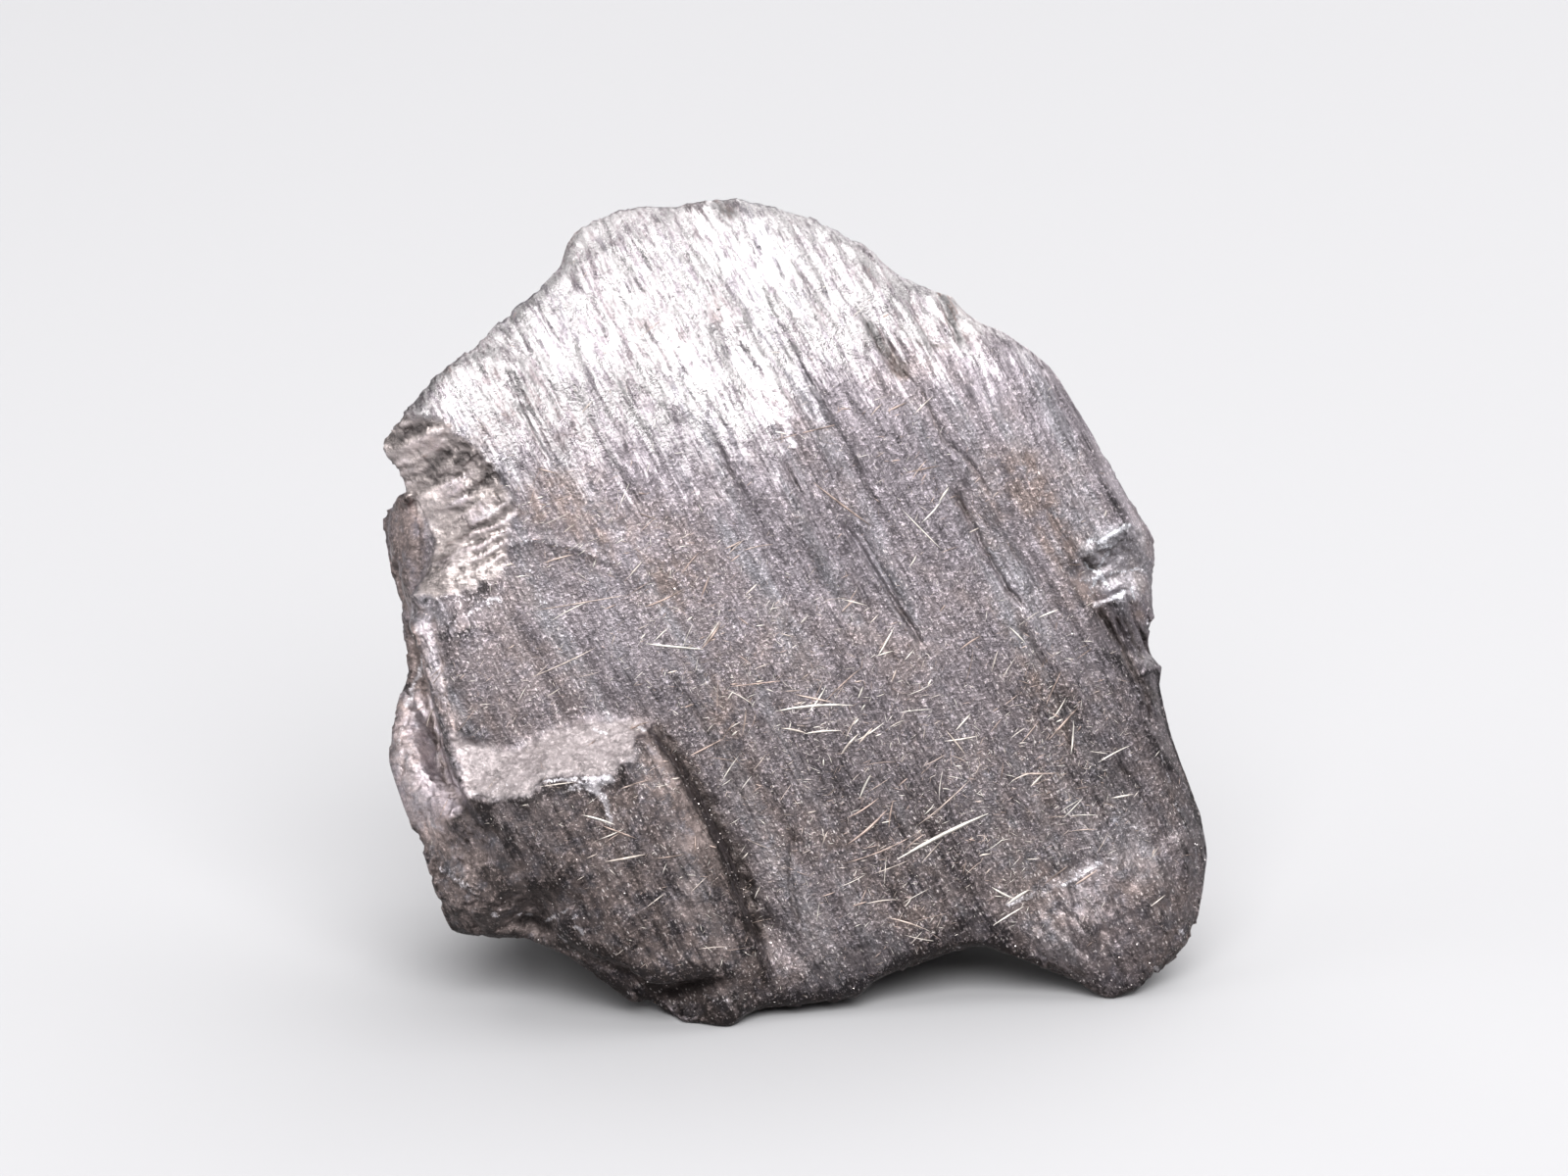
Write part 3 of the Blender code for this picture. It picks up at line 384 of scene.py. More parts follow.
stoneShape = {
    "cell": 0.075,            # size of the remeshed cells across the grain, mm
    "stretch": 2.5,           # how much longer they are along it
    "softRounds": 16,         # rounds of smoothing where the stone is broken
    "crispRounds": 3,         # rounds of smoothing on crystal faces
    "easeRounds": 300,        # rounds of smoothing on steps that are eased
    "triangles": 190000,      # after thinning
    "thinFront": 0.965,       # below 1, the face keeps more of its triangles than the back
    "rippleGap": 0.42,        # from one ripple of the left facet to the next, mm
    "rippleTurn": 24,         # direction of the ripples, degrees from u
    "plateTilt": 0.035,       # slope of the bright plate, mm per mm
    "plateFoot": 5.6,         # the height v at which that slope starts
    "stripReach": 0.45,       # how far the thin strip on the left is drawn out, mm
    "stripMiddle": 0.3,       # the height v at which it is drawn out most
    "stripSpread": 2.4,       # how far that reaches up and down, mm
    "edgeCrisp": 0.3,         # how near to the block's and ledge's edge smoothing stops, mm
    "groundGap": 0.5,         # the relief fades out within this height above the ground, mm
}
patterns = {    # maker, axes, sizes in mm, seed and tilt; with two sizes it is the same at all depths
    "wideStrips": (facets, "grain", (1.1, 9), 6, 1.4),
    "thinStrips": (facets, "grain", (0.5, 3.4), 50, 1.4),
    "hairStrips": (facets, "grain", (0.26, 1.5), 60, 1.4),
    "calm": (lumps, "grain", (2.2, 4.5), 5),
    "lenses": (lumps, "grain", (0.32, 1.5), 9),
    "dents": (lumps, "grain", (0.2, 0.3), 10),
    "rippleTiles": (facets, "face", (0.35, 0.22), 84),
    "chunks": (facets, "face", (0.9, 0.9, 0.9), 20),
    "chips": (facets, "face", (0.34, 0.34, 0.34), 30),
    "swells": (lumps, "face", (0.5, 0.5, 0.5), 15),
    "fineSwells": (lumps, "face", (0.18, 0.18, 0.18), 16),
    "slabs": (facets, "grain", (2.4, 5.5, 2.6), 90, 0.7),
    "scales": (facets, "grain", (0.8, 2.2, 0.9), 97),
    "roughPatches": (lumps, "face", (3.0, 3.0, 3.0), 17),
    "splinters": (facets, "grain", (0.35, 2.5, 0.4), 70, 1.4),
    "ledgeTiles": (facets, "face", (0.35, 0.25, 0.3), 80, 1.4),
    "ledgeSteps": (lumps, "face", (1.4, 0.7), 21),
    "chipTiles": (facets, "face", (0.75, 0.35, 0.5), 86, 1.2),
    "sideSwells": (lumps, "face", (0.4, 1.4, 0.8), 22),
    "sideTiles": (facets, "face", (0.55, 1.0, 0.9), 88, 1.2),
    "smoothSwells": (lumps, "face", (0.2, 0.2), 23),
    "wobble": (lumps, "face", (0.3, 0.3), 24),
    "channelTiles": (facets, "face", (0.22, 0.3), 89),
    "shake": (lumps, "face", (0.25, 0.25, 0.25), 25),
    "brownStreaks": (lumps, "grain", (0.35, 2.5), 26),
    "brightEnds": (lumps, "grain", (0.6, 4), 27),
    "grainPatches": (lumps, "face", (1.2, 1.2, 1.2), 29),
    "grooveBreaks": (lumps, "grain", (0.3, 0.8), 33),
    "rungBends": (lumps, "face", (0.3, 0.5), 34),
    "darkBreaks": (lumps, "face", (0.13, 0.13, 0.13), 35),
}
depths = {    # how far each pattern lifts or sinks the surface, mm
    "striae": (0.035, 0.03, 0.028),    # wide, thin and hair strips
    "lenses": 0.05, "dents": 0.02,
    "ripples": 0.3, "rippleSwells": 0.14, "rippleTiles": 0.09,
    "chunks": 0.22, "chips": 0.07, "swells": 0.05,
    "fineChunks": 0.07, "fineChips": 0.045, "fineSwells": 0.02,
    "lobeGrains": 0.09, "lobeChips": 0.04, "lobeTilt": 0.05,
    "slabs": 0.32, "scales": 0.09, "slabChips": 0.03, "splinters": 0.04,
    "ledgeTiles": 0.03, "ledgeChips": 0.02, "ledgeSteps": 0.05,
    "chipTiles": 0.05, "chipChips": 0.04,
    "sideSwells": 0.04, "sideChunks": 0.05, "sideTiles": 0.11,
    "smoothSwells": 0.008, "wobble": 0.05, "shake": 0.12, "channelTiles": 0.06,
    "most": 0.05,                      # nothing stands higher than this
}
lobeGrainSizes = (0.95, 0.42, 0.6)     # along, across and into the stone, mm


def meshFrom(name, points, faces):
    data = bpy.data.meshes.new(name)
    data.from_pydata(points.tolist(), [], faces.tolist())
    return data


def numbersOf(items, field, width, kind=np.float32):    # one row of numbers for each item
    flat = np.empty(len(items) * width, dtype=kind)
    items.foreach_get(field, flat)
    return flat.reshape(-1, width)


def pointsOf(data):
    return numbersOf(data.vertices, "co", 3).astype(np.float64)


def setPoints(data, points):
    data.vertices.foreach_set("co", points.astype(np.float32).ravel())
    data.update()


def normalsOf(data):
    return numbersOf(data.vertex_normals, "vector", 3).astype(np.float64)


def edgesOf(data):
    return numbersOf(data.edges, "vertices", 2, np.int32)


def newObject(name, data):
    made = bpy.data.objects.new(name, data)
    bpy.context.scene.collection.objects.link(made)
    return made


def applied(made):    # the object's mesh with its modifiers applied
    graph = bpy.context.evaluated_depsgraph_get()
    data = bpy.data.meshes.new_from_object(made.evaluated_get(graph))
    made.modifiers.clear()
    made.data = data
    return data


def smoothed(points, edges, share, rounds):
    a, b = edges[:, 0], edges[:, 1]
    count = np.bincount(a, minlength=len(points)) + np.bincount(b, minlength=len(points))
    share = share * (count > 0)    # a point with no neighbours stays where it is
    count = np.maximum(count, 1)
    for turn in range(rounds):
        mean = np.empty_like(points)
        for k in range(3):
            mean[:, k] = (np.bincount(a, points[b, k], len(points))
                          + np.bincount(b, points[a, k], len(points))) / count
        points = points + (mean - points) * share[:, None]
    return points


def areaShares(points, normals):
    u, v, w = points.T
    front = ramp(normals[:, 2], 0.05, 0.45) * ramp(w, -7.5, -6.0)
    rough = 0.12 * lumps(u / 0.35, v / 0.35, w * 0, 2) + 0.06 * lumps(u / 0.15, v / 0.15, w * 0, 3)
    shares = {name: ramp(insideBy(outline, u, v) + rough, -0.14, 0.14) * front
              for name, outline in areas.items()}
    edge = ramp(insideBy(areas["block"], u, v) + 0.15 * rough, -0.05, 0.05)    # crisper than the others
    shares["block"] = edge * front
    shares["ledge"] *= 1 - edge
    del shares["brightPlate"]
    shares["sideStrip"] = shares["sideStrip"] * (1 - shares["leftFacet"])
    taken = np.clip(sum(shares[k] for k in ("leftFacet", "sideStrip", "sideBulge", "ledge", "block", "hollow",
                                            "chip", "lobe")), 0, 1)
    shares["face"] = front * (1 - taken)
    shares["rest"] = 1 - front
    return shares


def ripplePattern(u, v):    # the ripples of the left facet, and the lumps between them
    ripple, rise = grainAxes(u, v, stoneShape["rippleTurn"])
    flat = u * 0
    bend = 0.4 * lumps(ripple / 2.2, rise / 1.3, flat, 12) + 0.3 * lumps(ripple / 0.7, rise / 0.5, flat, 31)
    steps = rise / stoneShape["rippleGap"] + bend
    saw = steps - np.floor(steps)
    strong = ramp(v, 0.8, 2.0) * (0.5 + 0.5 * ramp(u, -12.6, -11.0)) * ramp(-v, -6.2, -4.6)
    strong = strong * (0.7 + 0.6 * lumps(ripple / 0.9, rise / 0.9, flat, 32))
    swell = lumps(ripple / 0.7, rise / 0.4, flat, 13) * (0.6 + 0.6 * ramp(v, 3.6, 5.0))
    return (saw ** 1.5 * ramp(-saw, -1.0, -0.85) - 0.35) * strong, swell


def patternOver(points):    # a function that works out a pattern of the list over these points
    u, v, w = points.T
    along, across = grainAxes(u, v)
    axes = {"face": (u, v, w), "grain": (across, along, w)}

    def pattern(name):
        maker, chosen, sizes, *rest = patterns[name]
        place = [axis / size for axis, size in zip(axes[chosen], sizes)]
        if len(sizes) == 2:
            place.append(w * 0)
        height = maker(*place, *rest)
        return height[0] if maker is facets else height

    return pattern


def stoneRelief(points, shares):
    u, v, w = points.T
    along, across = grainAxes(u, v)
    pattern = patternOver(points)
    top = ramp(v, 1.0, 9.0)
    chunks, chips = pattern("chunks"), pattern("chips")

    calm = ramp(pattern("calm"), -0.5, 0.5)
    wide, thin, hair = depths["striae"]
    striae = (wide * pattern("wideStrips") + thin * pattern("thinStrips") * (0.5 + 0.5 * calm)
              + hair * pattern("hairStrips") * (1.2 - 0.7 * calm))
    striae *= 0.35 + 0.48 * top - 0.15 * ramp(-v, 0, 7)
    striae -= depths["lenses"] * ramp(pattern("lenses"), 0.5, 0.7) * top * (1 - 0.6 * calm)
    striae -= depths["dents"] * ramp(pattern("dents"), 0.35, 0.7)
    smooth = 0.35 * striae + depths["smoothSwells"] * pattern("smoothSwells")
    face = striae * (1 - shares["smoothFace"]) + smooth * shares["smoothFace"]

    wave, swell = ripplePattern(u, v)
    ripples = depths["ripples"] * wave + depths["rippleSwells"] * swell
    ripples += depths["rippleTiles"] * pattern("rippleTiles") * (0.5 + ramp(v, 3.4, 4.8))

    broken = depths["chunks"] * chunks * 0.8 + depths["chips"] * chips + depths["swells"] * pattern("swells")
    fineBroken = depths["fineChunks"] * chunks + depths["fineChips"] * chips
    fineBroken += depths["fineSwells"] * pattern("fineSwells")
    block = fineBroken * 0.35 + 0.9 * striae

    sizeAlong, sizeAcross, sizeDeep = lobeGrainSizes
    tilt, away = facets(along / sizeAlong, across / sizeAcross, w / sizeDeep, 40)
    lobe = depths["lobeGrains"] * (0.9 - 1.9 * away ** 2) + depths["lobeChips"] * chips
    lobe += depths["lobeTilt"] * tilt

    rough = ramp(pattern("roughPatches"), -0.25, 0.15)
    rest = depths["slabs"] * pattern("slabs") + depths["scales"] * pattern("scales")
    rest = rest + (0.8 * broken + depths["slabChips"] * chips) * rough
    rest += depths["splinters"] * pattern("splinters") * (1 - rough)

    ledge = depths["ledgeTiles"] * pattern("ledgeTiles") + depths["ledgeChips"] * chips
    ledge += depths["ledgeSteps"] * terrace(2.5 * pattern("ledgeSteps"))
    chip = depths["chipTiles"] * pattern("chipTiles") + depths["chipChips"] * chips
    side = depths["sideSwells"] * pattern("sideSwells") + 0.5 * fineBroken + depths["sideChunks"] * chunks
    side += depths["sideTiles"] * pattern("sideTiles")

    wobble = depths["wobble"] * pattern("wobble")
    front = 1 - shares["rest"]
    marks = (strokeSum(ridges, u + wobble, v) - strokeSum(grooves, u + wobble, v)) * front
    rubble = 0.8 * fineBroken + depths["channelTiles"] * pattern("channelTiles")
    marks += strokeSum(channelLine, u, v) * rubble * front
    bright = insideBy(areas["brightPlate"], u, v)
    tilted = -stoneShape["plateTilt"] * np.clip(v - stoneShape["plateFoot"], 0, 5) * ramp(bright, -0.1, 1.0)

    total = marks + tilted
    for name, relief in (("face", face), ("leftFacet", ripples), ("ledge", ledge), ("block", block),
                         ("hollow", broken), ("lobe", lobe), ("chip", chip)):
        total = total + relief * shares[name]
    total = total + side * np.clip(shares["sideStrip"] + shares["sideBulge"], 0, 1)
    return total + rest * shares["rest"]


def makeStone():
    bm = bmesh.new()
    bm.from_mesh(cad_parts[nodeName].data)
    bmesh.ops.remove_doubles(bm, verts=bm.verts, dist=0.00002 * mm)
    for block in fillers:
        added = [bm.verts.new(point) for point in toRow(np.array(block))]
        bmesh.ops.convex_hull(bm, input=added)
    rough = bpy.data.meshes.new("stone")
    bm.to_mesh(rough)
    bm.free()

    # Cells follow the grain: the copy is turned so that the grain runs along x, and squeezed along it.
    grain = np.array(Matrix.Rotation(-math.radians(stance["striaTurn"]), 3, "Z"))
    squeeze = np.array((1 / stoneShape["stretch"], 1, 1))
    setPoints(rough, toFace(pointsOf(rough)) @ grain.T * squeeze)
    stone = newObject("stone", rough)
    remesh = stone.modifiers.new("cells", "REMESH")
    remesh.mode = "VOXEL"
    remesh.voxel_size = stoneShape["cell"]
    remesh.adaptivity = 0.0
    data = applied(stone)
    points = (pointsOf(data) / squeeze) @ grain
    setPoints(data, points)
    print("stone remeshed:", len(data.vertices), "points")

    shares = areaShares(points, normalsOf(data))
    soft = np.clip(sum(shares[name] for name in ("block", "hollow", "lobe", "rest", "sideBulge")), 0, 1)
    for name in ("block", "ledge"):    # their shared edge stays crisp
        edgeAway = np.abs(insideBy(areas[name], *points.T[:2]))
        soft = soft * (1 - ramp(stoneShape["edgeCrisp"] - edgeAway, 0, 0.2))
    eased = np.clip(strokeSum(easedSteps, points[:, 0], points[:, 1]), 0, 1) * (1 - shares["rest"])
    edges = edgesOf(data)
    points = smoothed(points, edges, np.full(len(points), 0.5), stoneShape["crispRounds"])
    points = smoothed(points, edges, 0.5 * soft, stoneShape["softRounds"])
    chosen = eased > 0.01
    number = np.cumsum(chosen) - 1
    within = number[edges[chosen[edges].all(axis=1)]]
    points[chosen] = smoothed(points[chosen], within, 0.9 * np.clip(2 * eased[chosen], 0, 1),
                              stoneShape["easeRounds"])
    setPoints(data, points)

    u, v, w = points.T
    nearStrip = np.exp(-((v - stoneShape["stripMiddle"]) / stoneShape["stripSpread"]) ** 2)
    reach = stoneShape["stripReach"] * nearStrip * ramp(-u, 12.6, 13.6)
    points = points - reach[:, None] * np.array((1.0, 0, 0))
    setPoints(data, points)
    normals = normalsOf(data)
    shares = areaShares(points, normals)
    relief = stoneRelief(points, shares)
    low = points @ faceAxes[2] + standOrigin[2]    # height above the ground
    relief = np.minimum(relief, depths["most"]) * ramp(low, 0.0, stoneShape["groundGap"])
    points = points + normals * relief[:, None]
    setPoints(data, points)
    print("stone relief done")

    group = stone.vertex_groups.new(name="thin")
    facing = normals[:, 2] >= 0.15
    group.add(np.flatnonzero(~facing).tolist(), 1.0, "REPLACE")
    group.add(np.flatnonzero(facing).tolist(), stoneShape["thinFront"], "REPLACE")
    thin = stone.modifiers.new("thin", "DECIMATE")
    thin.vertex_group = group.name
    data.calc_loop_triangles()
    thin.ratio = min(1.0, stoneShape["triangles"] / len(data.loop_triangles))
    data = applied(stone)
    stone.vertex_groups.clear()
    setPoints(data, toRow(pointsOf(data)))
    data.shade_smooth()
    data.calc_loop_triangles()
    print("stone thinned:", len(data.loop_triangles), "triangles")
    return stone


stone = makeStone()


# Masks for the material, kept on the mesh as one number a point.

maskScale = {
    "raised": 0.03, "deep": 0.08,      # height over the points around it that counts in full, mm
    "rim": 0.13,                       # painted highlight, value added on the rounded rim
    "rungGap": 0.26,                   # from one rung of the thin strip to the next, mm
}


def numberAttribute(data, name, values):
    made = data.attributes.new(name, "FLOAT", "POINT")
    made.data.foreach_set("value", values.astype(np.float32))


def addMasks(data):
    points = toFace(pointsOf(data))
    normals = normalsOf(data)
    facing = normals @ faceAxes
    shares = areaShares(points, facing)
    for name, share in shares.items():
        numberAttribute(data, name, share)
    front = 1 - shares["rest"]
    edges = edgesOf(data)
    # Painted highlight: points that stand above their neighbours are made lighter.
    mean = smoothed(points, edges, np.ones(len(points)), 1)
    bend = -np.einsum("ij,ij->i", mean - points, facing) / maskScale["raised"]
    bend = smoothed(np.repeat(bend[:, None], 3, axis=1), edges, np.full(len(points), 0.5), 1)[:, 0]
    numberAttribute(data, "raised", np.clip(bend * front, -1, 1) * 0.5 + 0.5)
    # Painted shade, by how far a point lies from the surface smoothed around it.
    wideMean = smoothed(points, edges, np.ones(len(points)) * 0.8, 24)
    deep = np.einsum("ij,ij->i", wideMean - points, facing) / maskScale["deep"]
    numberAttribute(data, "deep", np.clip(deep * front, -1, 1) * 0.5 + 0.5)

    u, v, w = points.T
    pattern = patternOver(points)
    shake = depths["shake"] * pattern("shake")
    streaky = 0.75 + 0.9 * pattern("brownStreaks")
    numberAttribute(data, "browned", strokeSum(brownStrokes, u + shake, v) * streaky * front)
    numberAttribute(data, "paleAndHighlights", strokeSum(paleAndHighlightStrokes, u + shake, v) * front)

    # Darker marks and painted shade: along the strokes, in the grooves, in the ripple troughs and on the side
    # turned to the ground.
    shade = strokeSum(darkAndShadeStrokes, u + shake, v)
    shade *= 1 + 0.6 * pattern("darkBreaks")
    pits = [(line, width, min(1, 4 * depth)) for line, width, depth in grooves]
    shade += strokeSum(pits, u, v) * (0.55 + 0.9 * pattern("grooveBreaks"))
    wave, swell = ripplePattern(u, v)
    swellShade = (0.4 + 0.5 * ramp(v, 3.4, 4.8)) * swell
    shade += shares["leftFacet"] * np.clip(-2.2 * wave - swellShade, 0, 0.75)
    underShade = ramp(-normals[:, 2], 0.1, 0.5)    # painted shade on the side turned to the ground
    numberAttribute(data, "darkAndShade", np.clip(shade * front + 0.6 * underShade, 0, 1))

    # Painted highlight on the ripple crests of the left facet and on the rungs of the thin strip.
    crestHighlight = shares["leftFacet"] * np.clip(2.0 * wave + 0.5 * swell, 0, 1)
    rungs = 0.55 + 0.45 * np.sin(2 * math.pi * (v / maskScale["rungGap"] + 1.2 * pattern("rungBends")))
    crestHighlight += strokeSum(rungLine, u + 0.5 * shake, v) * rungs * front
    numberAttribute(data, "crestHighlight", np.clip(crestHighlight, 0, 1))

    # Painted highlight on the rim, by the way it faces.
    aside, ahead = facing[:, 0], facing[:, 2]
    rim = ramp(aside, 0.3, 0.7) * ramp(v, -3, 2) + ramp(-aside, 0.3, 0.7) * ramp(v, 8, 10)
    numberAttribute(data, "lit", strokeSum(litStrokes, u + shake, v) * front
                    + maskScale["rim"] * rim * ramp(ahead, -0.1, 0.2))

    grainy = (shares["lobe"] * 0.8 + shares["hollow"] * 0.5 + shares["block"] * 0.4 + shares["rest"] * 0.1
              + shares["face"] * 0.25 * ramp(-v, -3, 6)) * ramp(pattern("grainPatches"), -0.6, 0.5)
    grainy += 1.2 * strokeSum(channelLine, u, v) * front
    low = pointsOf(data)[:, 2] / mm
    numberAttribute(data, "grainy", grainy * ramp(low, 0.15, 0.4))

    # Where the top highlight is painted; it ends higher up on the right.
    fade = 2.4 * ramp(u, -0.2, 0.6) + 0.25 * np.clip(u - 1, 0, 9)
    numberAttribute(data, "upper", ramp(v + 1.0 * pattern("brightEnds") - fade, 2.8, 7.5) * front)


addMasks(stone.data)


# Materials.

class Wire:    # one socket of a material, with arithmetic that adds the nodes
    def __init__(self, tree, socket=None):
        self.tree = tree
        self.socket = socket

    def node(self, kind, settings, inputs, output=0):
        made = self.tree.nodes.new(kind)
        for name, value in settings.items():
            setattr(made, name, value)
        for name, value in inputs.items():
            if isinstance(value, Wire):
                self.tree.links.new(value.socket, made.inputs[name])
            else:
                made.inputs[name].default_value = value
        return Wire(self.tree, made.outputs[output])

    def other(self, output):    # another output of the same node
        return Wire(self.tree, self.socket.node.outputs[output])

    def math(self, operation, *values):
        return self.node("ShaderNodeMath", {"operation": operation}, dict(enumerate(values)))

    def __add__(self, other):
        return self.math("ADD", self, other)

    def __sub__(self, other):
        return self.math("SUBTRACT", self, other)

    def __rsub__(self, other):
        return self.math("SUBTRACT", other, self)

    def __mul__(self, other):
        return self.math("MULTIPLY", self, other)

    __radd__ = __add__
    __rmul__ = __mul__

    def most(self, other):
        return self.math("MAXIMUM", self, other)

    def clipped(self):
        return self.node("ShaderNodeClamp", {}, {"Value": self})

    def between(self, start, end):    # 0 at start, 1 at end, smooth in between
        return self.node("ShaderNodeMapRange", {"interpolation_type": "SMOOTHSTEP"},
                         {"Value": self, "From Min": start, "From Max": end})

    def vector(self, operation, *values, output=0):
        return self.node("ShaderNodeVectorMath", {"operation": operation}, dict(enumerate(values)), output)

    def scaled(self, value):    # a colour times a number
        return self.node("ShaderNodeVectorMath", {"operation": "SCALE"}, {0: self, "Scale": value})

    def mixed(self, colour, factor):    # this colour, turning to another one
        return self.node("ShaderNodeMix", {"data_type": "RGBA"}, {0: factor, 6: self, 7: colour}, 2)

    def blended(self, first, second):    # from one colour to another as this number goes from 0 to 1
        return self.node("ShaderNodeMix", {"data_type": "RGBA"}, {0: self, 6: first, 7: second}, 2)

    def placed(self, scale=(1, 1, 1), turn=(0, 0, 0), shift=(0, 0, 0)):
        return self.node("ShaderNodeMapping", {}, {"Vector": self, "Scale": scale, "Rotation": turn,
                                                   "Location": shift})

    def noise(self, scale, detail=2.0, rough=0.5):
        return self.node("ShaderNodeTexNoise", {}, {"Vector": self, "Scale": scale, "Detail": detail,
                                                    "Roughness": rough})

    def cells(self, scale):    # distance to the nearest of many scattered points
        return self.node("ShaderNodeTexVoronoi", {}, {"Vector": self, "Scale": scale})

    def planes(self):    # one flat tilted piece for each cell, as a height
        found = self.cells(1.0)
        away = self.vector("SUBTRACT", self, found.other("Position"))
        slope = self.vector("SUBTRACT", found.other("Color"), (0.5, 0.5, 0.5))
        return self.vector("DOT_PRODUCT", away, slope, output="Value")

    def dots(self, scale, radius, share):    # round spots in some of the cells
        found = self.cells(scale)
        chosen = found.other("Color").vector("DOT_PRODUCT", found.other("Color"), (1, 0, 0), output="Value")
        return (1 - found.between(radius * 0.5, radius)) * chosen.between(1 - share, 1.3 - share)


def newMaterial(name):
    made = bpy.data.materials.new(name)
    made.use_nodes = True
    tree = made.node_tree
    shader = tree.nodes["Principled BSDF"]
    return made, tree, shader


def faceCoords(wire):    # object coordinates turned to millimetres on the face
    turnBack = standUp.transposed()
    shift = -(turnBack @ Vector(stance["origin"]))
    objectPlace = wire.node("ShaderNodeTexCoord", {}, {}, "Object")
    return objectPlace.placed((1 / mm,) * 3, tuple(turnBack.to_euler()), tuple(shift))


stoneLook = {    # tints, which the surface's own value darkens
    "steel": (1.0, 0.885, 0.97, 1),
    "blueSteel": (0.95, 0.905, 0.985, 1),
    "brown": (1.0, 0.80, 0.76, 1),
    "gold": (1.0, 0.875, 0.845, 1),
    "highlightWhite": (1.0, 0.95, 0.96, 1),
    "pink": (1.0, 0.875, 0.875, 1),
    "ice": (0.95, 0.94, 1.0, 1),
    "speck": (0.9, 0.82, 0.80, 1),
    "metallic": 0.9,
    "roughness": 0.34,
    "bump": 0.05,             # mm
    "base": 0.132,            # value of the surface before anything changes it
    "darkest": 0.025,
}
stoneValues = {    # how much each pattern and mask changes the value
    "bands": 0.10, "mottle": 0.07, "grit": 0.12, "lines": 0.09, "hairs": 0.22,
    "crumbs": 0.19, "faceCrumbs": 0.06, "lower": 0.045, "upper": 0.02, "shine": 0.27,
    "deep": 0.08, "raised": 0.12, "ledgeSpots": 0.14, "ledgeGrit": 0.15, "chip": 0.17, "brokenGrit": 0.2,
    "blockLines": 0.16, "blockMottle": 0.12, "darkAndShade": 0.6, "paleAndHighlights": 0.24, "paleCrumbs": 0.42, "crestHighlight": 0.35,
}
areaWeights = {    # how much of it each area takes
    "striated": {"plain": 1, "block": 0.6, "lobe": 0.2, "rest": 0.6},
    "value": {"ledge": 0.17, "leftFacet": 0.26, "smoothFace": 0.005, "block": 0.002, "rest": 0.06,
              "sideStrip": 0.07, "sideBulge": 0.26, "lobe": 0.04, "hollow": 0.035},
    "specks": {"plain": 1, "lobe": 1.2, "block": 1.3, "hollow": 0.3, "sideBulge": 0.5, "rest": 0.7,
               "leftFacet": 0.2, "ledge": 0.4},
}
maskNames = ("leftFacet", "ledge", "block", "hollow", "lobe", "rest", "chip", "smoothFace", "sideStrip",
             "sideBulge", "raised", "deep", "browned", "paleAndHighlights", "darkAndShade", "crestHighlight", "upper", "lit")


